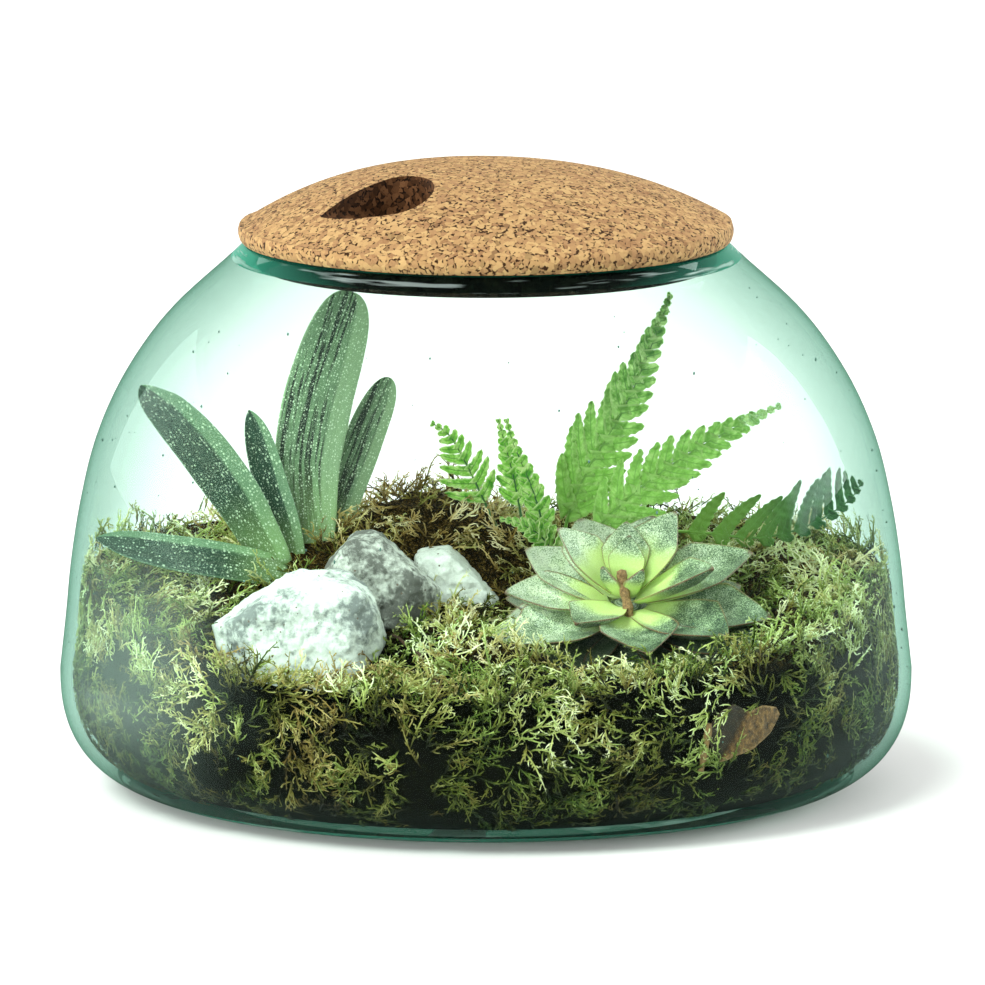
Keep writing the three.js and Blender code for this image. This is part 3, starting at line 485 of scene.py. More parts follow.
def outer_wall():
    """The bowl's outer outline as (radius, height), from the edge of its base up to the collar."""
    corner = []
    steps = 24
    for i in range(steps + 1):
        turn = (i / steps) * pi / 2
        radius = BASE_RADIUS + (BOWL_RADIUS - BASE_RADIUS) * sin(turn) ** CORNER_OUT
        corner.append((radius, BELLY_HEIGHT * (1 - cos(turn) ** CORNER_UP)))
    rise = Spine([(r, z, 0) for r, z in [(BOWL_RADIUS, BELLY_HEIGHT), *SHOULDER]], face=(0, 0, 1))
    shoulder = [rise.frame(i / 40)[0] for i in range(1, 41)]
    return corner + [(p.x, p.y) for p in shoulder]


def inner_wall(wall):
    """The bowl's inner outline, which follows the outer one at the wall's thickness."""
    outer = outer_wall()
    inner = []
    for before, (radius, height), after in zip(outer, outer[1:], outer[2:]):
        way = Vector((after[0] - before[0], after[1] - before[1])).normalized()
        point = (radius - way.y * wall, height + way.x * wall)
        if point[1] > FLOOR + 0.4:
            inner.append(point)
    return inner


def follow(line, x):
    """The height at x of a broken line through (x, height) points, level past its ends."""
    i = min(max(bisect_right([point[0] for point in line], x), 1), len(line) - 1)
    (low_x, low), (high_x, high) = line[i - 1], line[i]
    return low + (high - low) * min(max((x - low_x) / (high_x - low_x), 0), 1)


INSIDE = [(height, radius) for radius, height in inner_wall(WALL)]


def inside_radius(height):
    """How far the glass leaves room from the axis at a height."""
    return follow(INSIDE, height)


def dome_height(x, y):
    """The height of the lid's top."""
    share = min(hypot(x - DOME_SHIFT, y) / DOME_RADIUS, 1)
    return DOME_FOOT + DOME_RISE * (1 - share ** DOME_POWER) - DOME_LEAN * x * (1 - share ** 2)


def moss_height(x, y):
    """The moss bed's height, with a hollow in which the rosette sits."""
    level = MOSS_LEVEL + MOSS_SLOPE * y + MOSS_SIDE_RISE * (x / BOWL_RADIUS) ** 2
    for centre_x, centre_y, height, reach in MOUNDS:
        level += height * exp(-((x - centre_x) ** 2 + (y - centre_y) ** 2) / reach ** 2)
    return level - HOLLOW["fall"] * (1 - smooth_step(0.62, 1.02, hollow_share(x, y)))


def hollow_share(x, y):
    """How far out a place lies in the rosette's hollow: 0 in its middle and 1 at its edge."""
    hollow_x, hollow_y = HOLLOW["centre"]
    return hypot((x - hollow_x) / HOLLOW["across"], (y - hollow_y) / HOLLOW["deep"])


def leaned(point):
    """A point of the rosette, given from its own middle, once the rosette leans to the front."""
    return Matrix.Rotation(ROSETTE_LEAN, 3, "X") @ Vector(point) + Vector(ROSETTE_PLACE)


class TerrariumSettings(bpy.types.PropertyGroup):
    """Sizes and colours that a user may change."""

    wall: FloatProperty(
        name="Glass wall", description="Thickness of the bowl's wall", default=WALL * MM, min=0.002, max=0.006,
        unit="LENGTH",
    )
    glass_tint: FloatVectorProperty(
        name="Glass tint", description="Colour of the glass where it is seen at a steep slant", subtype="COLOR",
        size=4, min=0, max=1, default=linear("#2F7A63"),
    )
    glass_gloss: FloatProperty(
        name="Glass gloss", description="How much the glass mirrors at a steep slant", default=0.13, min=0, max=1,
        subtype="FACTOR",
    )
    cork_grain: FloatProperty(
        name="Cork grain", description="Size of a cork granule", default=1.9 * MM, min=0.0005, max=0.006,
        unit="LENGTH",
    )
    sprigs_on_top: IntProperty(
        name="Sprigs on top", description="Moss sprigs on the bed", default=3300, min=10, max=6000,
    )
    sprigs_at_glass: IntProperty(
        name="Sprigs at the glass", description="Moss sprigs pressed against the glass", default=3000, min=10,
        max=6000,
    )
    moss_fresh: FloatVectorProperty(
        name="Fresh moss", description="Colour of living moss", subtype="COLOR", size=4, min=0, max=1,
        default=linear("#7C9A3C"),
    )
    moss_dry: FloatVectorProperty(
        name="Dry moss", description="Colour of dried moss", subtype="COLOR", size=4, min=0, max=1,
        default=linear("#A98A4E"),
    )
    fern_thick: FloatProperty(
        name="Fern leaflet", description="Thickness of a fern leaflet", default=0.3 * MM, min=0.0001, max=0.001,
        unit="LENGTH",
    )
    floor_colour: FloatVectorProperty(
        name="Floor", description="Colour of the plain floor", subtype="COLOR", size=4, min=0, max=1,
        default=linear("#D2D4D2"),
    )
    lamp_power: FloatProperty(
        name="Lamp power", description="Strength of the soft lamps", default=1.0, min=0, max=10, unit="NONE",
    )


def recycled_glass(settings):
    """Recycled soda-lime glass, blown: clear and glossy face on, and sea green where it is seen at a slant."""
    material, add = blank_material("Recycled soda-lime glass, blown")
    slant = add("LayerWeight", {"Blend": 0.5}).outputs["Facing"]
    tint = set_stops(add("ValToRGB", {0: slant}), [
        (0.0, "#F7FDFA"), (0.3, "#EFFAF4"), (0.45, "#E2F0EA"), (0.6, "#CDE0D8"), (0.73, "#BED4CB"), (0.84, "#A9C5BA"),
        (0.92, "#83AE9D"), (1.0, "#2F7A63"),
    ])
    tint.color_ramp.elements[-1].color = settings.glass_tint
    clear = add("BsdfTransparent", {"Color": tint})
    return finish_glass(material, add, slant, clear, settings.glass_gloss)


def thick_glass(settings):
    """The same glass where it is thickest, at the base and the collar: deeper in colour, with long bright streaks."""
    material, add = blank_material("Recycled soda-lime glass, thick")
    slant = add("LayerWeight", {"Blend": 0.5}).outputs["Facing"]
    tint = set_stops(add("ValToRGB", {0: slant}), [
        (0.0, "#8FB3A6"), (0.25, "#6C9C8A"), (0.45, "#3F7462"), (0.7, "#1E5443"), (1.0, "#0E3A2C"),
    ])
    clear = add("BsdfTransparent", {"Color": tint})
    # A teal matt share stands in for light that entered elsewhere and comes out where the glass is thick: a painted
    # glow.
    painted_glow = add("BsdfDiffuse", {"Color": "#2E9C7E"})
    lit = add("MapRange", {0: slant, 1: 0.3, 2: 0.85, 4: 0.45})
    clear = add("MixShader", {0: lit, 1: clear, 2: painted_glow})
    place = add("TexCoord").outputs["Object"]
    stretched = add("VectorMath", {0: place, 1: (34, 34, 620)}, operation="MULTIPLY")
    folds = add("TexNoise", {"Vector": stretched, "Scale": 1.0, "Detail": 2})
    streaks = add("MapRange", {0: folds, 1: 0.55, 2: 0.66, 3: 0.002, 4: 0.4})
    return finish_glass(material, add, slant, clear, settings.glass_gloss * 2, streaks)


def inner_glass(settings):
    """The inner skin of the same glass: no colour of its own, and a painted reflection, a soft white haze, low down on
    one side.
    """
    material, add = blank_material("Recycled soda-lime glass, misted inside")
    slant = add("LayerWeight", {"Blend": 0.5}).outputs["Facing"]
    place = add("TexCoord").outputs["Object"]
    # The white haze low down on one side is a painted reflection, with a ragged edge.
    away = add("VectorMath", {0: place, 1: PAINTED_REFLECTION_PLACE}, operation="SUBTRACT")
    away = add("VectorMath", {0: away, 1: PAINTED_REFLECTION_REACH}, operation="DIVIDE")
    away = add("VectorMath", {0: away}, operation="LENGTH")
    clouds = add("TexNoise", {"Vector": place, "Scale": per_metre(30), "Detail": 3})
    ragged = add("Math", {0: clouds, 1: 0.5, 2: away}, operation="MULTIPLY_ADD")
    painted_reflection_share = add("MapRange", {0: ragged, 1: 1.3, 2: 0.35, 4: 0.1}, interpolation_type="SMOOTHSTEP")
    clear = add("BsdfTransparent", {"Color": "#FFFFFF"})
    painted_reflection_white = add("BsdfDiffuse", {"Color": "#E2F5EC"})
    painted_reflection = add("MixShader", {0: painted_reflection_share, 1: clear, 2: painted_reflection_white})
    return finish_glass(material, add, slant, painted_reflection, settings.glass_gloss * 0.5)


def finish_glass(material, add, slant, clear, gloss_share, least=0.002):
    """Adds the mirror gloss, which grows with the slant, and lets light through to what the glass shuts in."""
    steep = add("Math", {0: slant, 1: 3.5}, operation="POWER")
    mirror = add("Math", {0: steep, 1: gloss_share, 2: least}, operation="MULTIPLY_ADD")
    gloss = add("BsdfGlossy", {"Color": "#E9FFF7", "Roughness": 0.0})
    seen = add("MixShader", {0: mirror, 1: clear, 2: gloss})
    path = add("LightPath")
    dim_rays = {0: path.outputs["Is Shadow Ray"], 1: path.outputs["Is Diffuse Ray"]}
    lets_through = add("Math", dim_rays, operation="MAXIMUM")
    open_way = add("BsdfTransparent", {"Color": "#F6FFFA"})
    surface = add("MixShader", {0: lets_through, 1: seen, 2: open_way})
    add("OutputMaterial", {"Surface": surface})
    return material


def seed_in_glass():
    """A seed is a trapped bubble. It shows as a small dark speck, because it bends the light behind it away."""
    material, add = blank_material("Gas seed in glass")
    speck = add("BsdfPrincipled", {
        "Base Color": "#5E7F76", "Roughness": 0.15, "IOR": 1.3, "Transmission Weight": 0.35,
    })
    add("OutputMaterial", {"Surface": speck})
    return material


def agglomerated_cork(name, grain, shades, gap_colour, fleck_share):
    """Cork granules pressed with a binder and sanded: tan grains of many shades, dark gaps and bark flecks."""
    material, add = blank_material(name)
    place = add("TexCoord").outputs["Object"]
    bend = add("TexNoise", {"Vector": place, "Scale": 1 / (grain * 1.5), "Detail": 2}).outputs["Color"]
    bent = add("VectorMath", {0: bend, 1: (grain * 0.9,) * 3, 2: place}, operation="MULTIPLY_ADD")
    grains = add("TexVoronoi", {"Vector": bent, "Scale": 1 / grain})
    gaps = add("TexVoronoi", {"Vector": bent, "Scale": 1 / grain}, feature="DISTANCE_TO_EDGE")
    fine = add("TexNoise", {"Vector": place, "Scale": 1 / (grain * 0.3), "Detail": 3})
    broad = add("TexNoise", {"Vector": place, "Scale": 1 / (grain * 5), "Detail": 2})
    split = add("SeparateColor", {0: grains.outputs["Color"]})
    shade = add("Math", {0: split, 1: 0.72}, operation="MULTIPLY")
    shade = add("Math", {0: fine, 1: 0.34, 2: shade}, operation="MULTIPLY_ADD")
    tan = set_stops(add("ValToRGB", {0: shade}), shades)
    # The grains leave short open slits between them.
    width = add("MapRange", {0: broad, 1: 0.35, 2: 0.7, 3: 0.07, 4: 0.2})
    gap = add("Math", {0: gaps.outputs["Distance"], 1: width}, operation="LESS_THAN")
    slit = add("TexNoise", {"Vector": bent, "Scale": 1 / (grain * 0.75), "Detail": 1})
    open_here = add("MapRange", {0: slit, 1: 0.52, 2: 0.6})
    gap = add("Math", {0: gap, 1: open_here}, operation="MULTIPLY")
    fleck = add("Math", {0: split.outputs[1], 1: fleck_share}, operation="LESS_THAN")
    fleck = add("Math", {0: fleck, 1: 0.4}, operation="MULTIPLY")
    dark = add("Math", {0: gap, 1: fleck}, operation="MAXIMUM")
    colour = add("Mix", {0: dark, 6: tan, 7: gap_colour}, data_type="RGBA")
    height = add("Math", {0: dark, 1: -1.0, 2: shade}, operation="MULTIPLY_ADD")
    cork = rough_skin(add, colour, height, roughness=0.88, strength=0.7, deep=0.35, more={"Specular IOR Level": 0.15})
    add("OutputMaterial", {"Surface": cork})
    return material


def potting_soil():
    """Damp potting soil: near-black crumbs with a few pale grains."""
    material, add = blank_material("Potting soil, damp")
    place = add("TexCoord").outputs["Object"]
    crumbs = add("TexVoronoi", {"Vector": place, "Scale": per_metre(2.2)})
    fine = add("TexNoise", {"Vector": place, "Scale": per_metre(0.8), "Detail": 4})
    mixed = add("Math", {0: crumbs.outputs["Distance"], 1: 0.6, 2: fine}, operation="MULTIPLY_ADD")
    colour = set_stops(add("ValToRGB", {0: mixed}), [
        (0.3, "#15100B"), (0.75, "#3B2C1D"), (0.95, "#6B573D"),
    ])
    soil = rough_skin(add, colour, mixed, roughness=0.9, strength=1.0, deep=1.2)
    add("OutputMaterial", {"Surface": soil})
    return material


def moss_litter():
    """Dead moss and fine litter under the living sprigs: dark olive and brown threads with deep gaps, painted near
    black as the shade under the sprigs.
    """
    material, add = blank_material("Moss litter")
    place = add("TexCoord").outputs["Object"]
    bend = add("TexNoise", {"Vector": place, "Scale": per_metre(5), "Detail": 3}).outputs["Color"]
    bent = add("VectorMath", {0: bend, 1: (8 * MM,) * 3, 2: place}, operation="MULTIPLY_ADD")
    threads = add("TexNoise", {"Vector": bent, "Scale": per_metre(1.3), "Detail": 4, "Roughness": 0.7})
    colour = set_stops(add("ValToRGB", {0: threads}), [
        (0.4, "#010201"), (0.58, "#070802"), (0.72, "#1C1D0B"), (0.86, "#4A4626"),
    ])
    # On top the litter is dried straw brown. Lower down, at the glass, it is painted near black: painted shade where
    # little light reaches.
    height = add("SeparateXYZ", {0: place}).outputs[2]
    top = add("MapRange", {0: height, 1: 0.054, 2: 0.068, 4: 0.9})
    straw = set_stops(add("ValToRGB", {0: threads}), [
        (0.42, "#0E0903"), (0.52, "#33250F"), (0.62, "#715A2C"), (0.74, "#B39A60"),
    ])
    colour = add("Mix", {0: top, 6: colour, 7: straw}, data_type="RGBA")
    litter = rough_skin(add, colour, threads, roughness=0.95, strength=1.0, deep=1.5, more={"Specular IOR Level": 0.1})
    add("OutputMaterial", {"Surface": litter})
    return material


def moss_sprigs(settings):
    """Feather moss: thin leaves that let light through, fresh green in places and dried to straw in others."""
    material, add = blank_material("Feather moss, part dried")
    place = add("TexCoord").outputs["Object"]
    tip, shade, dry = split_note(add, "growth_and_painted_light")
    fine = add("TexNoise", {"Vector": place, "Scale": per_metre(1.1), "Detail": 2})
    # Each strand is painted from near black at its foot to pale at its tip: painted shade deep in the mat and painted
    # highlight on top.
    bright = -0.24
    for part, share in ((shade, 0.75), (tip, 0.5), (fine, 0.2)):
        bright = add("Math", {0: part, 1: share, 2: bright}, operation="MULTIPLY_ADD")
    kinds = []
    for chosen, stops in (
        (settings.moss_fresh, ("#060C02", "#1F2E0B", "#66792F", "#BCC880", "#F6F9DC")),
        (settings.moss_dry, ("#0B0803", "#35280F", "#8C7640", "#CDBB86", "#F6EED0")),
    ):
        shades = set_stops(add("ValToRGB", {0: bright}), list(zip((0.05, 0.26, 0.48, 0.72, 0.95), stops)))
        kinds.append(add("Mix", {0: 0.35, 6: shades, 7: chosen}, data_type="RGBA", blend_type="SOFT_LIGHT"))
    colour = add("Mix", {0: dry, 6: kinds[0], 7: kinds[1]}, data_type="RGBA")
    leaf = add("BsdfPrincipled", {
        "Base Color": colour, "Roughness": 0.6, "Specular IOR Level": 0.3,
    })
    glow = add("BsdfTranslucent", {"Color": colour})
    surface = add("MixShader", {0: 0.25, 1: leaf, 2: glow})
    add("OutputMaterial", {"Surface": surface})
    return material


def limestone(name, white, grey, smudge_from):
    """Tumbled limestone: chalky and rough, off-white, with grey smudges, pits and dark specks."""
    material, add = blank_material(name)
    place = add("TexCoord").outputs["Object"]
    clouds = add("TexNoise", {"Vector": place, "Scale": per_metre(17), "Detail": 5, "Roughness": 0.62})
    rough = add("TexNoise", {"Vector": place, "Scale": per_metre(2.2), "Detail": 6, "Roughness": 0.68})
    ragged = add("Math", {0: rough, 1: 0.55, 2: clouds}, operation="MULTIPLY_ADD")
    smudge = add("MapRange", {0: ragged, 1: smudge_from, 2: smudge_from + 0.17, 4: 0.85})
    specks = add("TexVoronoi", {"Vector": place, "Scale": per_metre(4.5)})
    speck = add("Math", {0: specks.outputs["Distance"], 1: 0.085}, operation="LESS_THAN")
    veil = add("MapRange", {0: rough, 1: 0.46, 2: 0.72, 4: 0.3})
    dark = add("Math", {0: smudge, 1: veil}, operation="MAXIMUM")
    colour = white
    for share, coat in ((dark, grey), (speck, "#6E5F55")):
        colour = add("Mix", {0: share, 6: colour, 7: coat}, data_type="RGBA")
    stone = rough_skin(add, colour, rough, roughness=0.86, strength=0.85, deep=0.9)
    add("OutputMaterial", {"Surface": stone})
    return material


def spotted_leaf(name, plain, stripe, light, dot_gap, striped):
    """Ox-tongue leaf: tough, waxy and dark green, with raised pale dots in rows, dark stripes and a paler foot."""
    material, add = blank_material(name)
    side, along, _ = split_note(add, "leaf_share")
    real = add("Attribute", attribute_name="leaf_mm").outputs["Vector"]
    # The dots stand in rows along the leaf, with finer ones between them.
    rows = add("VectorMath", {0: real, 1: (1.0, 0.8, 0.3)}, operation="MULTIPLY")
    dots = add("TexVoronoi", {"Vector": rows, "Scale": 1 / dot_gap, "Randomness": 0.7})
    fine_dots = add("TexVoronoi", {"Vector": rows, "Scale": 2 / dot_gap, "Randomness": 0.9})
    size = add("SeparateColor", {0: dots.outputs["Color"]})
    limit = add("MapRange", {0: size.outputs[0], 1: 0.1, 2: 1.0, 3: 0.12, 4: 0.34})
    dot = add("Math", {0: dots.outputs["Distance"], 1: limit}, operation="LESS_THAN")
    fine_dot = add("Math", {0: fine_dots.outputs["Distance"], 1: 0.3}, operation="LESS_THAN")
    # Long stripes run down the face.
    stretched = add("VectorMath", {0: real, 1: (1.0, 0.04, 0.3)}, operation="MULTIPLY")
    grooves = add("TexNoise", {"Vector": stretched, "Scale": 1 / 1.3, "Detail": 3, "Roughness": 0.6})
    groove = add("MapRange", {0: grooves, 1: 0.49, 2: 0.55, 4: striped})
    mottle = add("TexNoise", {"Vector": real, "Scale": 1 / 5, "Detail": 3})
    colour = set_stops(add("ValToRGB", {0: mottle}), [(0.35, stripe), (0.6, plain)])
    light_side = add("MapRange", {0: side, 1: 0.38, 2: 0.5, 4: 0.8})
    rim = add("MapRange", {0: side, 1: -0.9, 2: -0.97, 4: 0.6})
    pale = add("Math", {0: light_side, 1: rim}, operation="MAXIMUM")
    shown = add("Math", {0: pale, 1: -0.8, 2: 1.0}, operation="MULTIPLY_ADD")
    groove = add("Math", {0: groove, 1: shown}, operation="MULTIPLY")
    foot = add("MapRange", {0: along, 1: 0.42, 2: 0.04, 4: 0.5}, interpolation_type="SMOOTHSTEP")
    white = fine_dot
    for value, how in ((0.38, "MULTIPLY"), (dot, "MAXIMUM"), (0.85, "MULTIPLY")):
        white = add("Math", {0: white, 1: value}, operation=how)
    for share, coat in ((0.75, plain), (groove, stripe), (pale, light), (foot, "#8FAE6C"), (white, "#C3D3B9")):
        colour = add("Mix", {0: share, 6: colour, 7: coat}, data_type="RGBA")
    height = add("Math", {0: groove, 1: -0.7, 2: white}, operation="MULTIPLY_ADD")
    leaf = rough_skin(add, colour, height, roughness=0.42, strength=0.6, deep=0.3, more={
        "Subsurface Weight": 0.1, "Subsurface Radius": (0.6, 1.0, 0.3), "Subsurface Scale": 1.2 * MM,
    })
    add("OutputMaterial", {"Surface": leaf})
    return material


def fern_leaf(name, young, full, dark, glow_share, painted_highlight_axis=None, painted_highlight_until=0.0, painted_highlight_share=0.5):
    """Fern frond: thin, soft leaflets that glow where light comes through, with grey-green ribs."""
    material, add = blank_material(name)
    side, _, rib = split_note(add, "leaf_share")
    real = add("Attribute", attribute_name="leaf_mm").outputs["Vector"]
    mottle = add("TexNoise", {"Vector": real, "Scale": 1 / 3.2, "Detail": 4, "Roughness": 0.62})
    colour = set_stops(add("ValToRGB", {0: mottle}), [(0.36, dark), (0.5, full), (0.68, young)])
    # Side veins run out from the midrib at a slant, about 1.3 mm apart.
    away = add("Math", {0: side}, operation="ABSOLUTE")
    run = add("SeparateXYZ", {0: real})
    slant = add("Math", {0: away, 1: -2.2, 2: run.outputs[1]}, operation="MULTIPLY_ADD")
    slant = add("Math", {0: slant, 1: tau / 1.3}, operation="MULTIPLY")
    wave = add("Math", {0: slant}, operation="SINE")
    vein = add("MapRange", {0: wave, 1: 0.75, 2: 1.0, 4: 0.4})
    midrib = add("MapRange", {0: away, 1: 0.12, 2: 0.02, 4: 0.85})
    ribs = rib
    for lines in (vein, midrib):
        ribs = add("Math", {0: lines, 1: ribs}, operation="MAXIMUM")
    edge = add("MapRange", {0: away, 1: 0.7, 2: 1.0, 4: 0.75})
    coats = [(ribs, "#4C7A4A"), (edge, young)]
    if painted_highlight_axis:
        # The leaflets next to the crown are painted paler: a painted highlight.
        place = add("TexCoord").outputs["Object"]
        run = add("SeparateXYZ", {0: place}).outputs[painted_highlight_axis]
        fresh = add("MapRange", {0: run, 1: painted_highlight_until, 2: painted_highlight_until - 0.04, 4: painted_highlight_share})
        coats.append((fresh, "#AEDD68"))
    for share, coat in coats:
        colour = add("Mix", {0: share, 6: colour, 7: coat}, data_type="RGBA")
    leaf = rough_skin(add, colour, ribs, roughness=0.5, strength=0.5, deep=0.3)
    glow = add("BsdfTranslucent", {"Color": colour})
    surface = add("MixShader", {0: glow_share, 1: leaf, 2: glow})
    add("OutputMaterial", {"Surface": surface})
    return material


def dusty_leaf():
    """Rosette leaf: thick and juicy, with a powdery grey bloom, a yellow-green foot and a fine red-brown margin."""
    material, add = blank_material("Rosette leaf with a powdery bloom")
    side, along, young = split_note(add, "leaf_share")
    real = add("Attribute", attribute_name="leaf_mm").outputs["Vector"]
    away = add("Math", {0: side}, operation="ABSOLUTE")
    powder = add("TexNoise", {"Vector": real, "Scale": 1 / 0.5, "Detail": 3, "Roughness": 0.7})
    clouds = add("TexNoise", {"Vector": real, "Scale": 1 / 7, "Detail": 3})
    mixed = add("Math", {0: clouds, 1: 0.35, 2: powder}, operation="MULTIPLY_ADD")
    # Towards the back and the left the leaves are painted lighter: painted light from that side.
    place = add("TexCoord").outputs["Object"]
    painted_light_side = add("VectorMath", {0: place, 1: (-1.8, 2.9, 0)}, operation="DOT_PRODUCT")
    mixed = add("Math", {0: painted_light_side, 1: mixed}, operation="ADD")
    colour = set_stops(add("ValToRGB", {0: mixed}), [
        (0.25, "#21332A"), (0.355, "#596D52"), (0.455, "#99AE88"), (0.6, "#F0F7DC"),
    ])
    reach = add("Math", {0: young, 1: 0.34, 2: 0.3}, operation="MULTIPLY_ADD")
    reach = add("Math", {0: clouds, 1: 0.3, 2: reach}, operation="MULTIPLY_ADD")
    near = add("Math", {0: reach, 1: 0.3}, operation="SUBTRACT")
    foot = add("MapRange", {0: along, 1: reach, 2: near, 4: 0.92}, interpolation_type="SMOOTHSTEP")
    # Towards its tip a leaf is darker, and low down in the rosette a leaf is painted darker: painted shade under the
    # leaves above.
    outer = add("MapRange", {0: along, 1: 0.45, 2: 1.0, 4: 0.48})
    low = add("MapRange", {0: young, 1: 0.1, 2: -1.3, 4: 0.72})
    dark = add("Math", {0: low, 1: outer}, operation="MAXIMUM")
    margin = add("MapRange", {0: away, 1: 0.93, 2: 0.99, 4: 0.75})
    tip = add("MapRange", {0: along, 1: 0.95, 2: 1.0, 4: 0.9})
    margin = add("Math", {0: margin, 1: tip}, operation="MAXIMUM")
    for share, coat in ((foot, "#C3D684"), (dark, "#16241B"), (margin, "#6E4336")):
        colour = add("Mix", {0: share, 6: colour, 7: coat}, data_type="RGBA")
    leaf = rough_skin(add, colour, powder, roughness=0.5, strength=0.35, deep=0.25, more={
        "Subsurface Weight": 0.25, "Subsurface Radius": (0.7, 1.0, 0.25), "Subsurface Scale": 2.5 * MM,
    })
    add("OutputMaterial", {"Surface": leaf})
    return material


def dried_plant(name, light, dark):
    """Dried stem or leaf: matt brown, with fine fibres along it and worn paler patches."""
    material, add = blank_material(name)
    place = add("TexCoord").outputs["Object"]
    fibres = add("TexNoise", {"Vector": place, "Scale": per_metre(0.9), "Detail": 4, "Roughness": 0.7})
    colour = set_stops(add("ValToRGB", {0: fibres}), [(0.32, dark), (0.7, light)])
    bark = rough_skin(add, colour, fibres, roughness=0.85, strength=0.8, deep=0.4)
    add("OutputMaterial", {"Surface": bark})
    return material


def dead_leaf():
    """Dead leaf: brown and papery, near black where it is folded away from the light, with a worn pale rim."""
    material, add = blank_material("Dead leaf, papery")
    place = add("TexCoord").outputs["Object"]
    rim, _, folded = split_note(add, "leaf_share")
    fibres = add("TexNoise", {"Vector": place, "Scale": per_metre(1.6), "Detail": 5, "Roughness": 0.7})
    colour = set_stops(add("ValToRGB", {0: fibres}), [
        (0.32, "#1E1208"), (0.5, "#5A3D20"), (0.7, "#8A6638"),
    ])
    ragged = add("Math", {0: fibres, 1: 0.5, 2: rim}, operation="MULTIPLY_ADD")
    worn = add("MapRange", {0: ragged, 1: 1.1, 2: 1.3, 4: 0.6})
    dark = add("Math", {0: folded, 1: 0.88}, operation="MULTIPLY")
    for share, coat in ((worn, "#A98458"), (dark, "#120E08")):
        colour = add("Mix", {0: share, 6: colour, 7: coat}, data_type="RGBA")
    paper = rough_skin(add, colour, fibres, roughness=0.8, strength=0.9, deep=0.5)
    add("OutputMaterial", {"Surface": paper})
    return material


def green_stalk():
    """Fresh stalk: smooth, yellow-green, with a soft sheen and faint lengthwise streaks."""
    material, add = blank_material("Fresh stalk")
    place = add("TexCoord").outputs["Object"]
    streaks = add("TexNoise", {"Vector": place, "Scale": per_metre(2), "Detail": 2})
    colour = set_stops(add("ValToRGB", {0: streaks}), [(0.35, "#7FA04A"), (0.65, "#B8D07A")])
    stalk = add("BsdfPrincipled", {"Base Color": colour, "Roughness": 0.45})
    add("OutputMaterial", {"Surface": stalk})
    return material


class TERRARIUM_OT_glass_bowl(bpy.types.Operator):
    """Spin the glass bowl from its outline, with seeds in its wall"""

    bl_idname = "terrarium.glass_bowl"
    bl_label = "Glass bowl"

    def execute(self, context):
        settings = context.scene.terrarium
        wall = settings.wall / MM
        mouth = COLLAR_RADIUS - wall
        rim = [(COLLAR_RADIUS + out, RIM_HEIGHT + up) for out, up in RIM_OUTSIDE]
        rim += [(mouth + out, RIM_HEIGHT + up) for out, up in RIM_INSIDE]
        outline = [(0, 0), (BASE_RADIUS * 0.5, 0), *outer_wall(), *rim, *reversed(inner_wall(wall)),
                   (BASE_RADIUS - 4, FLOOR), (BASE_RADIUS * 0.5, FLOOR), (0, FLOOR)]
        shape = new_shape()
        spin_round(shape, outline, steps=192)
        close_up(shape)
        # Blown glass is a little uneven inside.
        for corner in shape.verts:
            radius = hypot(corner.co.x, corner.co.y)
            if corner.co.z > FLOOR + 1 and radius < inside_radius(corner.co.z) + 0.5:
                swell = 0.35 * noise.noise(corner.co / 38)
                corner.co.x *= 1 - swell / radius
                corner.co.y *= 1 - swell / radius
        thin, inner, thick = range(3)
        for face in shape.faces:
            centre = face.calc_center_median()
            outwards = face.normal.dot(Vector((centre.x, centre.y, 0)).normalized())
            if centre.z > FLOOR - 0.1 and (outwards < -0.01 or centre.z < FLOOR + 0.1):
                face.material_index = inner
            elif FLOOR < centre.z < SHOULDER[-1][1]:
                face.material_index = thin
            else:
                face.material_index = thick
        skins = [recycled_glass(settings), inner_glass(settings), thick_glass(settings)]
        finished("glass_bowl_blown", shape, skins, ["glass_bowl"], "recycled_glass")

        draw = random.Random(41)
        seeds = new_shape()
        for _ in range(SEED_COUNT):
            height = draw.uniform(22, 172)
            turn = draw.uniform(0, tau)
            radius = inside_radius(height) + wall * draw.uniform(0.3, 0.75)
            size = draw.choice(SEED_SIZES)
            place = Matrix.Translation((radius * cos(turn), radius * sin(turn), height))
            stretch = Matrix.Diagonal((1, 1, draw.uniform(1.0, 1.9), 1))
            bmesh.ops.create_icosphere(seeds, subdivisions=1, radius=size, matrix=place @ stretch)
        finished("glass_seeds", seeds, [seed_in_glass()], slot="recycled_glass")
        return {"FINISHED"}


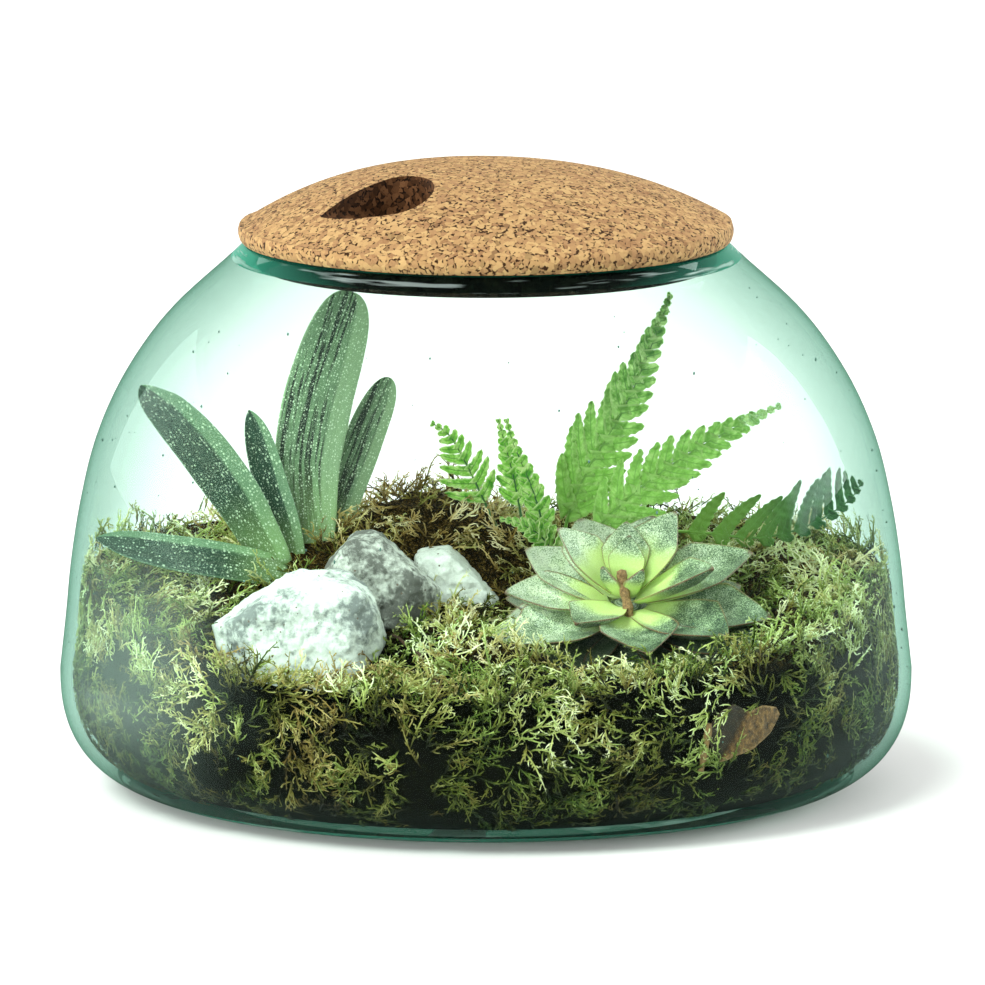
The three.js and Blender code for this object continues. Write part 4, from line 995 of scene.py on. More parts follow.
class TERRARIUM_OT_cork_lid(bpy.types.Operator):
    """Model the domed cork lid and cut its finger scoop"""

    bl_idname = "terrarium.cork_lid"
    bl_label = "Cork lid"

    def outline(self):
        """(radius, height) from the middle of the dome over the edge and plug to the middle underneath."""
        dome = [(DOME_RADIUS * (i / 84) ** 0.9, None) for i in range(85)]
        plug = [(79, LID_SEAT), (PLUG_RADIUS, LID_SEAT), (PLUG_RADIUS, LID_SEAT - 3), (PLUG_RADIUS, PLUG_FOOT + 1.2),
                (PLUG_RADIUS - 0.4, PLUG_FOOT + 0.4), (PLUG_RADIUS - 1.2, PLUG_FOOT)]
        under = [(PLUG_RADIUS * share, PLUG_FOOT) for share in (0.75, 0.5, 0.25, 0)]
        return dome + LID_EDGE + plug + under

    def scoop(self):
        """The scoop as a solid: a leaf-shaped column over a floor that falls towards its round end."""
        tip, end, half = Vector(SCOOP_TIP), Vector(SCOOP_CENTRE), Vector(SCOOP_HALF)
        near, far = end - Vector((0, half.y)), end + Vector((0, half.y))

        def bend(start, pull, stop, share):
            return start * (1 - share) ** 2 + pull * 2 * share * (1 - share) + stop * share ** 2

        steps = 18
        rim = [bend(tip, near - Vector((SCOOP_NEAR_BEND, 0)), near, i / steps) for i in range(steps)]
        for i in range(2 * steps):
            turn = -pi / 2 + pi * i / (2 * steps)
            rim.append(end + Vector((half.x * cos(turn), half.y * sin(turn))))
        rim += [bend(far, far - Vector((SCOOP_FAR_BEND, 0)), tip, i / steps) for i in range(steps)]
        shape = bmesh.new()
        corners = [shape.verts.new((p.x, p.y, LID_TOP + 10)) for p in rim]
        lid_face = shape.faces.new(corners)
        down = bmesh.ops.extrude_face_region(shape, geom=[lid_face])
        fall = (SCOOP_TIP_FLOOR - SCOOP_END_FLOOR) / (end.x + half.x - tip.x)
        for corner in down["geom"]:
            if isinstance(corner, bmesh.types.BMVert):
                corner.co.z = SCOOP_TIP_FLOOR - fall * (corner.co.x - tip.x)
        bmesh.ops.recalc_face_normals(shape, faces=shape.faces)
        floor = [f for f in shape.faces if abs(f.normal.z) > 0.5 and f.calc_center_median().z < LID_TOP]
        # The floor meets the walls in a soft curve.
        bmesh.ops.bevel(
            shape, geom=[e for f in floor for e in f.edges], affect="EDGES", offset=2.2, segments=4, profile=0.5,
            material=-1,
        )
        return shape

    def execute(self, context):
        settings = context.scene.terrarium
        grain = settings.cork_grain / MM
        outline = self.outline()
        last = len(outline) - 1

        def place(u, v):
            radius, height = outline[round(v * last)]
            turn = tau * u
            x, y = radius * cos(turn), radius * sin(turn)
            point = Vector((x, y, dome_height(x, y) if height is None else height))
            # Sanded grains stand a hair proud of the gaps between them.
            near = noise.voronoi(point / (grain * 1.3))[0]
            if point.z > LID_SEAT + 0.2:
                point.z -= 0.16 * (1 - smooth_step(0.02, 0.16, near[1] - near[0])) * min(radius / 4, 1)
            return (point,)

        shape = new_shape()
        net(shape, columns=320, rows=last, place=place)
        close_up(shape)
        # The plug, down in the mouth, takes the near-black cork: painted shade.
        for face in shape.faces:
            face.material_index = int(face.calc_center_median().z < LID_SEAT + 0.3)
        sanded, cut, sealed = (
            agglomerated_cork(f"Agglomerated cork, {finish}", settings.cork_grain, *look)
            for finish, *look in CORK_LOOKS
        )
        lid = finished("cork_lid_pressed", shape, [sanded, sealed], ["cork_lid"], "agglomerated_cork", smooth=False)
        # The scoop's cut faces take the darker cut cork: partly its own colour, partly painted shade in the recess.
        cutter = put_in_scene("scoop", to_mesh("scoop", self.scoop(), [cut]))
        cut_out = lid.modifiers.new("scoop", "BOOLEAN")
        cut_out.operation = "DIFFERENCE"
        cut_out.solver = "EXACT"
        cut_out.material_mode = "TRANSFER"
        cut_out.object = cutter
        done = bpy.data.meshes.new_from_object(lid.evaluated_get(context.evaluated_depsgraph_get()))
        lid.modifiers.clear()
        lid.data = done
        bpy.data.objects.remove(cutter)
        done.set_sharp_from_angle(angle=radians(38))
        return {"FINISHED"}


def sprig(seed, length, width, branchlets, curl):
    """One moss sprig along +Y: a curling strand with side strands, and short leaves on all of them."""
    draw = random.Random(seed)
    shape = new_shape("growth_and_painted_light")
    growth_and_painted_light = shape.verts.layers.float_vector["growth_and_painted_light"]
    bends = [draw.uniform(-1, 1) * curl for _ in range(3)]
    lift = draw.uniform(0.0, 0.3) * length
    axis = Spine([(0, 0, 0), (bends[0] * 0.6, length * 0.35, lift * 0.2), (bends[1], length * 0.7, lift * 0.9),
                  (bends[2] * 1.5, length, lift * 0.9)], face=(0, 0, 1))
    twigs = [axis]
    for i in range(branchlets):
        share = 0.12 + 0.72 * (i + draw.random() * 0.6) / branchlets
        centre, along, across, up = axis.frame(share)
        splay = radians(draw.uniform(28, 62))
        turn = i * 2.4 + draw.uniform(-0.5, 0.5)
        out = (across * cos(turn) + up * 0.75 * sin(turn)) * sin(splay) + along * cos(splay)
        reach = width * draw.uniform(0.6, 1.25) * (1 - 0.35 * share)
        hook = (along + up * draw.uniform(-0.4, 0.8)) * reach * 0.28
        twigs.append(Spine([centre, centre + out * reach * 0.5, centre + out * reach * 0.8 + hook], face=(0.2, 0.1, 1)))
    # The first note of each strand and leaf runs from its foot to its tip, and the material paints it from painted
    # shade to painted highlight.
    for number, twig in enumerate(twigs):
        thick = 0.36 if number else 0.42
        start = 0.3 if number else 0.0

        def strand(u, v):
            centre, _, across, up = twig.frame(v)
            turn = tau * u
            radius = thick * (1 - 0.55 * v) if 0 < v < 1 else 0
            spot = centre + (across * cos(turn) + up * sin(turn)) * radius
            return spot, Vector((start + (0.95 - start) * v, 0, 0))

        net(shape, columns=3, rows=3 if number else 5, place=strand)
        for i in range(1 if number else 6):
            share = draw.uniform(0.15, 0.95)
            centre, along, across, up = twig.frame(share)
            turn = draw.uniform(0, tau)
            out = (across * cos(turn) + up * sin(turn)) * 0.8 + along * 0.6
            out.normalize()
            reach = draw.uniform(1.0, 1.9)
            girth = draw.uniform(0.24, 0.36)
            place = Matrix.Translation(centre + out * reach / 2) @ out.to_track_quat("Z", "Y").to_matrix().to_4x4()
            place @= Matrix.Diagonal((girth, girth, reach / 2, 1))
            leaf = bmesh.ops.create_uvsphere(shape, u_segments=3, v_segments=2, radius=1, matrix=place)
            for corner in leaf["verts"]:
                far = min(max((corner.co - centre).dot(out) / reach, 0), 1)
                corner[growth_and_painted_light] = Vector((start + (0.6 - start) * share + 0.4 * far, 0, 0))
    close_up(shape, 1e-3)
    return to_mesh("sprig", shape, scale=1)


def dryness(x, y, draw):
    """How dried the moss is at a place, from 0, fresh, to 1, straw. It is driest behind the stones."""
    dry = 0.22 + 0.75 * exp(-((x + 25) ** 2 + (y - 38) ** 2) / 52 ** 2)
    dry += 0.55 * exp(-((x + 55) ** 2 + (y + 108) ** 2) / 34 ** 2)
    dry += 0.9 * noise.noise(Vector((x, y, 3)) / 21)
    return min(max(dry + draw.uniform(-0.35, 0.35), 0), 1)


def drift(point):
    """Which way the moss lies at a place, as a turn. Neighbours lie much alike."""
    return 3.6 * pi * noise.noise(point / 26) + 1.1 * noise.noise(point / 7)


def patch(point):
    """How light the moss is at a place, from 0 in its dark gaps to 1 on its fresh cushions."""
    return 0.5 + 0.95 * noise.noise(point / 17) + 0.6 * noise.noise(point / 6)


class TERRARIUM_OT_moss(bpy.types.Operator):
    """Lay the moss bed and cover it with sprigs, also where it is pressed against the glass"""

    bl_idname = "terrarium.moss"
    bl_label = "Moss"

    def bed(self):
        """One closed cushion: its top out to the glass, its side down the glass, and its flat bottom."""
        top_share, side_share = 0.62, 0.92
        low = FLOOR + 0.4

        def place(u, v):
            turn = tau * u
            way = Vector((cos(turn), sin(turn), 0))
            rough = noise.fractal(Vector((cos(turn) * 9, sin(turn) * 9, v * 34)), 1.0, 2.0, 3)
            edge = way * (inside_radius(72) - 2.5)
            edge_height = moss_height(edge.x, edge.y)
            if v <= top_share:
                spot = edge * (v / top_share)
                bumps = 1.8 * noise.fractal(Vector((spot.x, spot.y, 0)) / 7, 1.0, 2.0, 3)
                return (spot + Vector((0, 0, moss_height(spot.x, spot.y) - 2.2 + bumps)),)
            if v <= side_share:
                fall = (v - top_share) / (side_share - top_share)
                height = edge_height + (low - edge_height) * fall
                radius = inside_radius(height) - 2.4 - 0.9 * abs(rough)
                return (way * radius + Vector((0, 0, height)),)
            inwards = 1 - (v - side_share) / (1 - side_share)
            return (way * (inside_radius(low) - 3.3) * inwards + Vector((0, 0, low)),)

        shape = new_shape()
        net(shape, columns=144, rows=96, place=place)
        close_up(shape)
        return shape

    def is_covered(self, x, y):
        """True where a stone, the rosette or the foot of a plant stands."""
        feet = [(*stone["centre"][:2], stone["room"]) for stone in STONES.values()] + [(*OX_TONGUE_FOOT, 8)]
        return hollow_share(x, y) < 0.93 or any(hypot(x - foot_x, y - foot_y) < room for foot_x, foot_y, room in feet)

    def on_top(self, count, draw):
        """Where each sprig on the bed lies, with how dry it is."""
        for i in range(count):
            radius = 134 * sqrt((i + 0.5) / count)
            turn = i * GOLDEN_TURN + draw.uniform(-0.05, 0.05)
            x, y = radius * cos(turn) + draw.uniform(-2, 2), radius * sin(turn) + draw.uniform(-2, 2)
            if self.is_covered(x, y) or (y > 60 and i % 4 == 0):
                continue
            height = moss_height(x, y)
            fall_x = moss_height(x - 2, y) - moss_height(x + 2, y)
            fall_y = moss_height(x, y - 2) - moss_height(x, y + 2)
            normal = Vector((fall_x, fall_y, 4)).normalized()
            heading = drift(Vector((x, y, 0))) + draw.gauss(0, 0.7)
            flat = Vector((cos(heading), sin(heading), 0))
            flat = (flat - normal * flat.dot(normal)).normalized()
            rise = radians(draw.triangular(-2, 58, 14))
            along = flat * cos(rise) + normal * sin(rise)
            normal = normal * cos(rise) - flat * sin(rise)
            foot = Vector((x, y, height - 1.6 + draw.uniform(-1.2, 0.8)))
            # Towards the right the moss is painted lighter: painted light on the side that the lamps leave darker.
            shade = 0.6 * patch(foot) + 0.45 * draw.random() + 0.05 + 0.2 * smooth_step(50, 120, x)
            yield foot, along, normal, shade, dryness(x, y, draw)

    def at_glass(self, count, draw):
        """Where each sprig pressed against the glass lies, with how dry it is."""
        for i in range(count):
            turn = tau * ((i + draw.random()) / count - 0.5)
            way = Vector((cos(turn), sin(turn), 0))
            if way.y > 0 and i % 3 == 0:
                continue
            edge = moss_height(way.x * 136, way.y * 136) + 2
            level_share = draw.random() ** 0.75
            height = FLOOR + 2 + (edge - FLOOR - 2) * level_share
            clear_x, clear_y = DRY_LEAF["clear_of_moss"]
            beside = (turn - LEAF_TURN) * inside_radius(height)
            if hypot(beside / clear_x, (height - DRY_LEAF["height"]) / clear_y) < 1:
                continue
            leans = inside_radius(height + 2) - inside_radius(height - 2)
            normal = Vector((way.x, way.y, -leans / 4)).normalized()
            level = Vector((-way.y, way.x, 0))
            up = normal.cross(level)
            heading = pi / 2 + drift(way * 140 + Vector((0, 0, height))) * 0.5 + draw.gauss(0, 0.6)
            along = level * cos(heading) + up * sin(heading) - normal * draw.uniform(0.02, 0.16)
            along.normalize()
            normal = (normal - along * normal.dot(along)).normalized()
            foot = way * (inside_radius(height) - draw.uniform(0.8, 2.2)) + Vector((0, 0, height))
            dry = dryness(way.x * 118, way.y * 118, draw) * 0.8 + 0.1 + 0.25 * noise.noise(foot / 13)
            # Little light reaches the moss deep down at the glass.
            light = 0.3 + 0.7 * smooth_step(0.1, 0.9, level_share)
            shade = (0.7 * patch(foot) + 0.45 * draw.random()) * light
            if shade > 0.12 or draw.random() < 0.5:
                yield foot, along, normal, shade, min(max(dry, 0), 1)

    def execute(self, context):
        settings = context.scene.terrarium
        finished("moss_bed_litter", self.bed(), [moss_litter()], ["moss_bed"], "moss")
        kinds = [sprig(seed, *kind) for seed, kind in enumerate(SPRIG_KINDS, 1)]
        draw = random.Random(7)
        places = [*self.on_top(settings.sprigs_on_top, draw), *self.at_glass(settings.sprigs_at_glass, draw)]
        sectors = {name: [] for name in SECTORS}
        for place in places:
            turn = atan2(place[0].y, place[0].x) + pi
            sectors[SECTORS[int(turn / (pi / 3)) % 6]].append(place)
        leafy = moss_sprigs(settings)
        for sector, members in sectors.items():
            shape = new_shape("growth_and_painted_light")
            for foot, along, normal, shade, dry in members:
                kind = draw.choice(kinds)
                size = draw.uniform(0.62, 1.12)
                turn = Matrix((along.cross(normal), along, normal)).transposed().to_4x4()
                place = Matrix.Translation(foot) @ turn @ Matrix.Scale(size, 4)
                notes = kind.attributes["growth_and_painted_light"].data
                values = [part for note in notes for part in (note.vector[0], shade, dry)]
                notes.foreach_set("vector", values)
                kind.transform(place)
                shape.from_mesh(kind)
                kind.transform(place.inverted())
            # The glass presses flat what would stand through it.
            for corner in shape.verts:
                radius = hypot(corner.co.x, corner.co.y)
                room = inside_radius(corner.co.z) - 0.45
                if radius > room:
                    corner.co.x *= room / radius
                    corner.co.y *= room / radius
                corner.co.z = max(corner.co.z, FLOOR + 0.3)
            finished(f"moss_sprigs_{sector}", shape, [leafy], slot="moss", smooth=False)
        for kind in kinds:
            bpy.data.meshes.remove(kind)
        return {"FINISHED"}


class TERRARIUM_OT_stones(bpy.types.Operator):
    """Wear three balls down to the white stones"""

    bl_idname = "terrarium.stones"
    bl_label = "Stones"

    def execute(self, context):
        for name, stone in STONES.items():
            flats = []
            for turn, tilt, distance in stone["planes"]:
                a, b = radians(turn), radians(tilt)
                flats.append(Vector((cos(a) * cos(b), sin(a) * cos(b), sin(b))) / distance)
            shape = new_shape()
            bmesh.ops.create_icosphere(shape, subdivisions=6, radius=1)
            centre = Vector(stone["centre"])
            sharpness = 24
            for corner in shape.verts:
                way = corner.co.normalized()
                reach = sum(max(0, way.dot(flat)) ** sharpness for flat in flats) ** (-1 / sharpness)
                point = way * reach
                wear = 1 + 0.05 * noise.fractal((point + centre) / 12, 1.0, 2.0, 3)
                rough = 0.6 * noise.fractal((point - centre) / 3.5, 0.8, 2.1, 4)
                pits = 0.7 * smooth_step(0.2, 0.55, noise.noise((point - centre) / 3.2))
                corner.co = centre + point * wear + way * (rough - pits)
            finished(f"{name}_worn", shape, [limestone(*stone["look"])], [name], "limestone")
        return {"FINISHED"}


class TERRARIUM_OT_soil(bpy.types.Operator):
    """Give the soil under the moss its finish"""

    bl_idname = "terrarium.soil"
    bl_label = "Soil"

    def execute(self, context):
        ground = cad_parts["soil"]
        ground.data.materials.clear()
        ground.data.materials.append(potting_soil())
        return {"FINISHED"}


class TERRARIUM_OT_ox_tongue(bpy.types.Operator):
    """Model the spotted ox-tongue leaves and their short stem"""

    bl_idname = "terrarium.ox_tongue"
    bl_label = "Ox-tongue"

    def leaf(self, spine, width, foot, thick, blunt):
        """One leaf, closed at its foot and its tip."""
        shape = new_shape("leaf_share", "leaf_mm")

        def place(u, v):
            turn = tau * u
            run = 1 - (1 - v) ** 1.6
            centre, _, across, up = spine.frame(run)
            swelling = foot + (1 - foot) * sin(min(run / 0.6, 1) * pi / 2)
            taper = max(0, 1 - run ** 9) ** blunt * (1 - 0.25 * blunt * run ** 2)
            depth = max(0, 1 - run ** 8) ** 0.6 * (1 - 0.45 * run)
            if v == 0:
                taper = depth = 0
            side, rise = cos(turn), sin(turn)
            # Above, a ridge parts a wide face from a narrow one. Below, the leaf is keeled.
            if rise >= 0:
                high = 0.34 * rise ** 0.7 + 0.22 * exp(-((side - 0.42) / 0.14) ** 2) * min(rise * 3, 1)
            else:
                high = -0.95 * (-rise) ** 1.25
            a, h = side * width * swelling * taper, high * thick * depth
            return (centre + across * a + up * h, Vector((side, run, high)), Vector((a, run * spine.length, h)))

        net(shape, columns=40, rows=56, place=place)
        close_up(shape)
        return shape

    def execute(self, context):
        broad = spotted_leaf(
            "Ox-tongue leaf, striped", plain="#627D5C", stripe="#0C1E13", light="#86A07A", dot_gap=0.85, striped=1.0,
        )
        slim = spotted_leaf(
            "Ox-tongue leaf, dark and dotted", plain="#213C2F", stripe="#0F2317", light="#6B8A69", dot_gap=1.1,
            striped=0.5,
        )
        for name, leaf in TONGUES.items():
            skin = broad if name.endswith(("tall", "back")) else slim
            spine = Spine(leaf["spine"], leaf["face"])
            shape = self.leaf(spine, leaf["width"], leaf["foot"], leaf["thick"], leaf["blunt"])
            finished(f"{name}_dotted", shape, [skin], [name], "ox_tongue_leaf")
        finished_stem(
            "ox_tongue_stem_dry", Spine(OX_TONGUE_STEM), 24, 12, lambda v: 8 + 2.6 * v + 0.8 * sin(v * 20),
            dried_plant("Dried sheath", "#8A6A4A", "#3B2616"), "ox_tongue_stem", "dried_plant",
        )
        return {"FINISHED"}


class TERRARIUM_OT_fern(bpy.types.Operator):
    """Grow the fern's fronds, with toothed leaflets on a tapered rib"""

    bl_idname = "terrarium.fern"
    bl_label = "Fern"

    def leaflet(self, shape, root, along, across, up, reach, half, draw):
        """One lobed leaflet, from its root outwards, as a single sheet that gets its thickness later."""
        lobes = max(2, round(reach / 2.7))
        droop = draw.uniform(-0.02, 0.1)
        twist = draw.uniform(-0.3, 0.3)
        wave = draw.uniform(0, 6)

        def place(u, v):
            side = 2 * u - 1
            body = (1 - 0.35 * v) * max(0.0, 1 - v ** 4) ** 0.6
            lobe = 1 - 0.36 * (1 - (1 - v) ** 6) * (1 - abs(sin(pi * lobes * v + 0.5 * side)) ** 0.6)
            width = half * max(body * lobe, 0.04) * side
            ruffle = 0.16 * half * abs(side) ** 1.5 * sin(pi * lobes * v * 2 + wave)
            lift = 0.14 * abs(side) * half - droop * reach * v ** 2 + ruffle + twist * width * v
            lean = 0.16 * reach * v ** 2
            # Its foot runs down on the rib, and its lobes point outwards.
            push = (0.3 if v > 0.15 else -0.5) * abs(width)
            point = root + across * (reach * v + push) + along * (width + lean) + up * lift
            return point, Vector((side, v, 0)), Vector((width, v * reach + 40 * root.x, 0))

        net(shape, columns=4, rows=lobes * 4, place=place)

    def execute(self, context):
        settings = context.scene.terrarium
        thick = settings.fern_thick / MM
        # The leaflets come in sunlit, half-shaded and shaded copies: painted light and painted shade.
        bright = fern_leaf("Fern leaflet, sunlit", young="#F0FABE", full="#A4DA62", dark="#57A634", glow_share=0.46)
        tall = fern_leaf(
            "Fern leaflet, painted_half_shade", young="#D8EBAE", full="#93C06B", dark="#54883F", glow_share=0.46,
            painted_highlight_axis="Z", painted_highlight_until=0.142,
        )
        shaded = fern_leaf(
            "Fern leaflet, shaded", young="#467A44", full="#2C5A32", dark="#1A4024", glow_share=0.2,
            painted_highlight_axis="X", painted_highlight_until=0.108, painted_highlight_share=0.8,
        )
        skins = {"fern_frond_far_right": shaded, "fern_frond_tall": tall, "fern_frond_right": tall}
        for name, frond in FRONDS.items():
            draw = random.Random(name)
            spine = Spine(frond["spine"], frond["face"])
            shape = new_shape("leaf_share", "leaf_mm")
            pairs = round(frond["pairs"] * 1.3)
            blade = 0.985 - frond["bare"]
            for i in range(pairs):
                part = 1 - (1 - (i + 0.5) / pairs) ** 1.4
                step = spine.length * blade * 1.4 * (1 - (i + 0.5) / pairs) ** 0.4 / pairs
                reach = frond["reach"] * min(1, 0.72 + part * 2.2) * max(0.06, 1 - part ** frond.get("taper", 1.15))
                centre, along, across, up = spine.frame(frond["bare"] + blade * part)
                for side, most, slant in zip((-1, 1), frond["sides"], frond["slants"]):
                    lean = radians(slant + draw.uniform(-6, 6))
                    out = across * side * sin(lean) + along * cos(lean)
                    way = (along - out * along.dot(out)).normalized()
                    self.leaflet(shape, centre, way, out, up, max(reach * most, 1.2), step * frond["room"], draw)
            bmesh.ops.solidify(shape, geom=shape.faces, thickness=thick)
            round_stem(shape, spine, sides=6, steps=30, radius=lambda v: 0.75 * (1 - 0.75 * v))
            close_up(shape)
            finished(f"{name}_toothed", shape, [skins.get(name, bright)], [name], "fern_leaf")
        return {"FINISHED"}


class TERRARIUM_OT_rosette(bpy.types.Operator):
    """Model the rosette's thick leaves and the dried stub of its flower stalk"""

    bl_idname = "terrarium.rosette"
    bl_label = "Rosette"

    def leaf(self, shape, turn, tilt, length, drop, young):
        """One leaf, hollow above and keeled below, that points out from the rosette's middle."""
        a, b = radians(turn), radians(tilt)
        points = []
        for share in (0.11, 0.4, 0.7, 1):
            out = length * share * cos(b)
            rise = length * (sin(b) * share + 0.12 * share * (share - 0.55)) - drop
            points.append(leaned((out * cos(a), out * sin(a), rise)))
        face = leaned((-sin(b) * cos(a), -sin(b) * sin(a), cos(b))) - Vector(ROSETTE_PLACE)
        spine = Spine(points, face)

        def place(u, v):
            turn_here = tau * u
            run = 1 - (1 - v) ** 1.5
            centre, _, across, up = spine.frame(run)
            if run < 0.62:
                share = 0.32 + 0.68 * sin((run / 0.62) * pi / 2)
            else:
                share = ((1 - run) / 0.38) ** 0.78 if run < 1 else 0
            half = 0.31 * length * share * (0 if v == 0 else 1)
            thick = 2.4 * min(1, share + 0.25) * (1 if 0 < v < 1 else 0)
            side, rise = cos(turn_here), sin(turn_here)
            channel = 0.34 * half * abs(side) ** 1.3
            if rise >= 0:
                high = channel + 0.28 * rise * (1 - abs(side)) * thick
            else:
                high = channel - thick * (-rise) ** 0.75 * (1.15 - 0.45 * abs(side))
            point = centre + across * (side * half) + up * high
            real = Vector((side * half, run * length, high + 30 * cos(a)))
            return point, Vector((side, run, young)), real

        net(shape, columns=28, rows=26, place=place)

    def execute(self, context):
        shape = new_shape("leaf_share", "leaf_mm")
        for turn, tilt, length, drop in ROSETTE_LEAVES:
            # The last note, young, also paints the low leaves darker: painted shade.
            self.leaf(shape, turn, tilt, length, drop, 1 - drop / 4)
        core = Spine([leaned((0, 0, height)) for height in (-24, -12, 0)])
        round_stem(shape, core, sides=16, steps=8, radius=lambda v: 5.5)
        close_up(shape)
        finished("rosette_dusty", shape, [dusty_leaf()], ["rosette"], "rosette_leaf")
        finished_stem(
            "rosette_flower_stub_dry", Spine(FLOWER_STUB), 16, 40,
            lambda v: 1.75 - 0.25 * v + 0.18 * sin(v * 31) + (0.3 if v > 0.9 else 0),
            dried_plant("Dried flower stalk", "#B08A62", "#4A3020"), "rosette_flower_stub", "dried_plant",
        )
        return {"FINISHED"}


class TERRARIUM_OT_fallen(bpy.types.Operator):
    """Lay the green stem and the twig on the moss, and the dry leaf against the glass"""

    bl_idname = "terrarium.fallen"
    bl_label = "Fallen leaf, stem and twig"

    def lying(self, name, route, radius, lift, material, replaced, slot):
        """A stem that lies along a route on the moss, sunk into it here and there."""
        flat = Spine([(x, y, 0) for x, y in route], face=(0, 0, 1))
        points = []
        for i in range(15):
            spot = flat.frame(i / 14)[0]
            points.append((spot.x, spot.y, moss_height(spot.x, spot.y) + lift + 0.5 * sin(i * 1.3)))
        spine = Spine(points, face=(0, 0, 1))
        finished_stem(name, spine, 8, 60, lambda v: radius * (1 - 0.3 * v), material, replaced, slot)

    def execute(self, context):
        bark = dried_plant("Dark twig", "#5A4332", "#1C120B")
        for kind, finish, route, radius, lift, skin, slot in (
            ("green_stem", "fresh", GREEN_STEM, 0.7, 1.2, green_stalk(), "green_stem"),
            ("dark_twig", "bark", DARK_TWIG, 0.6, 1.0, bark, "dried_plant"),
        ):
            self.lying(f"fallen_{kind}_{finish}", route, radius, lift, skin, f"fallen_{kind}", slot)
        shape = new_shape("leaf_share")

        def on_glass(x, y, depth, *notes):
            height = DRY_LEAF["height"] + y
            radius = inside_radius(height) - depth
            turn = LEAF_TURN + x / radius
            return Vector((radius * cos(turn), radius * sin(turn), height)), Vector(notes)

        def blade(u, v):
            upper, lower = DRY_LEAF["upper"], DRY_LEAF["lower"]
            x = upper[0][0] + (upper[-1][0] - upper[0][0]) * v
            x += 0.5 * sin(u * 9) * sin(pi * v)
            low = follow(lower, x)
            y = low + (follow(upper, x) - low) * u
            start, normal = Vector(DRY_LEAF["crease"]), Vector(DRY_LEAF["crease_normal"])
            beyond = (Vector((x, y)) - start).dot(normal)
            folded = 1 - smooth_step(-0.8, 0.8, beyond)
            wrinkle = 0.3 * noise.noise(Vector((x, y, 0)) / 3)
            rim = max(abs(2 * u - 1), abs(2 * v - 1))
            return on_glass(x, y, 1.0 + 0.9 * folded + wrinkle, rim, v, folded)

        def curl(u, v):
            x = -16.4 - 2.2 * v + (2 * u - 1) * (1.0 + 0.7 * sin(v * 7) ** 2)
            return on_glass(x, 4.5 - 16 * v, 0.9 + 0.9 * abs(2 * u - 1), 1, v, 0.15)

        net(shape, columns=20, rows=40, place=blade)
        net(shape, columns=6, rows=24, place=curl)
        bmesh.ops.solidify(shape, geom=shape.faces, thickness=0.3)
        close_up(shape)
        finished("dry_leaf_crumpled", shape, [dead_leaf()], ["dry_leaf"], "dried_plant")
        return {"FINISHED"}


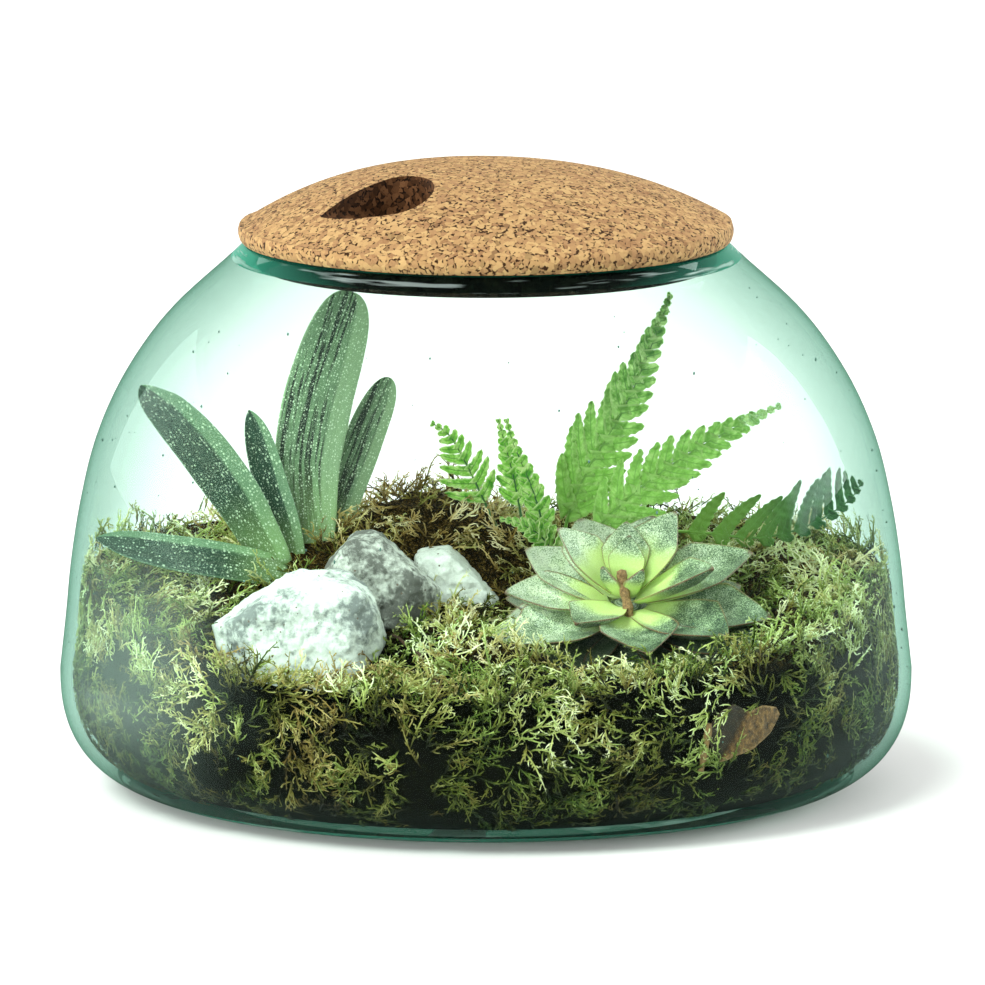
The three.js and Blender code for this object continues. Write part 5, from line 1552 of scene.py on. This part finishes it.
class TERRARIUM_OT_stage(bpy.types.Operator):
    """Set the pale floor, the soft light and the camera"""

    bl_idname = "terrarium.stage"
    bl_label = "Stage"

    def floor(self, colour):
        shape = bmesh.new()
        spin_round(shape, FLOOR_OUTLINE, steps=96)
        bmesh.ops.remove_doubles(shape, verts=shape.verts, dist=1e-5)
        material, add = blank_material("Matt painted floor")
        place = add("TexCoord").outputs["Object"]
        grain = add("TexNoise", {"Vector": place, "Scale": 3.0, "Detail": 2})
        shade = add("MapRange", {0: grain, 3: 0.55, 4: 0.6})
        paint = add("BsdfPrincipled", {"Base Color": colour, "Roughness": shade, "Specular IOR Level": 0.2})
        add("OutputMaterial", {"Surface": paint})
        mesh = to_mesh("floor", shape, [material], scale=1)
        mesh.shade_smooth()
        put_in_scene("floor", mesh)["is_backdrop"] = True

    def sky(self, scene):
        """A white studio, brighter behind the part than in front of it."""
        world = scene.world = bpy.data.worlds.new("Soft studio")
        world.use_nodes = True
        sky = world.node_tree.nodes["Background"]
        sky.inputs["Color"].default_value = linear("#FFFFFF")
        add = partial(add_node, world.node_tree)
        way = add("TexCoord").outputs["Generated"]
        parts = add("SeparateXYZ", {0: way})
        glow = add("MapRange", {0: parts.outputs[1], 1: -0.8, 2: 0.6, 3: 0.5, 4: 1.3})
        world.node_tree.links.new(glow.outputs[0], sky.inputs["Strength"])

    def lamps(self, power):
        for name, (kind, place, aim, looks) in LAMPS.items():
            light = bpy.data.lights.new(name, kind)
            for setting, value in looks.items():
                setattr(light, setting, value)
            light.energy = looks["energy"] * power
            lamp = put_in_scene(name, light)
            lamp.location = place
            if aim:
                lamp.rotation_euler = (Vector(aim) - lamp.location).to_track_quat("-Z", "Y").to_euler()
            lamp.visible_glossy = name not in NOT_MIRRORED

    def camera(self, scene):
        camera = bpy.data.cameras.new("photo_view")
        camera.lens = CAMERA_LENS
        camera.sensor_width = 36
        camera.clip_end = 100
        viewer = scene.camera = put_in_scene("photo_view", camera)
        aim = Vector(CAMERA_AIM)
        viewer.location = aim + Vector((0, -cos(CAMERA_DOWN), sin(CAMERA_DOWN))) * CAMERA_AWAY
        viewer.rotation_euler = (aim - viewer.location).to_track_quat("-Z", "Y").to_euler()

    def execute(self, context):
        settings = context.scene.terrarium
        self.floor(settings.floor_colour)
        self.sky(context.scene)
        self.lamps(settings.lamp_power)
        self.camera(context.scene)
        context.scene.view_settings.view_transform = "Standard"
        return {"FINISHED"}


PIECES = (
    TERRARIUM_OT_glass_bowl,
    TERRARIUM_OT_cork_lid,
    TERRARIUM_OT_moss,
    TERRARIUM_OT_soil,
    TERRARIUM_OT_stones,
    TERRARIUM_OT_ox_tongue,
    TERRARIUM_OT_fern,
    TERRARIUM_OT_rosette,
    TERRARIUM_OT_fallen,
    TERRARIUM_OT_stage,
)


class TERRARIUM_PT_panel(bpy.types.Panel):
    """The garden's sizes and colours, and a button for each group of pieces"""

    bl_idname = "TERRARIUM_PT_panel"
    bl_label = "Glass plant terrarium"
    bl_space_type = "VIEW_3D"
    bl_region_type = "UI"
    bl_category = "Terrarium"

    def draw(self, context):
        settings = context.scene.terrarium
        column = self.layout.column()
        for name in TerrariumSettings.__annotations__:
            column.prop(settings, name)
        for piece in PIECES:
            column.operator(piece.bl_idname)


CLASSES = (TerrariumSettings, *PIECES, TERRARIUM_PT_panel)


def register():
    for item in CLASSES:
        bpy.utils.register_class(item)
    bpy.types.Scene.terrarium = PointerProperty(type=TerrariumSettings)


def unregister():
    del bpy.types.Scene.terrarium
    for item in reversed(CLASSES):
        bpy.utils.unregister_class(item)


def plain(box):
    """A box's corners as lists, which JSON takes."""
    return [list(corner) for corner in box]


def main():
    register()
    for piece in PIECES:
        group, name = piece.bl_idname.split(".")
        getattr(getattr(bpy.ops, group), name)()
    {"cad": plain(CAD_BOX), "visual": plain(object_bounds())}


if __name__ == "__main__":
    main()
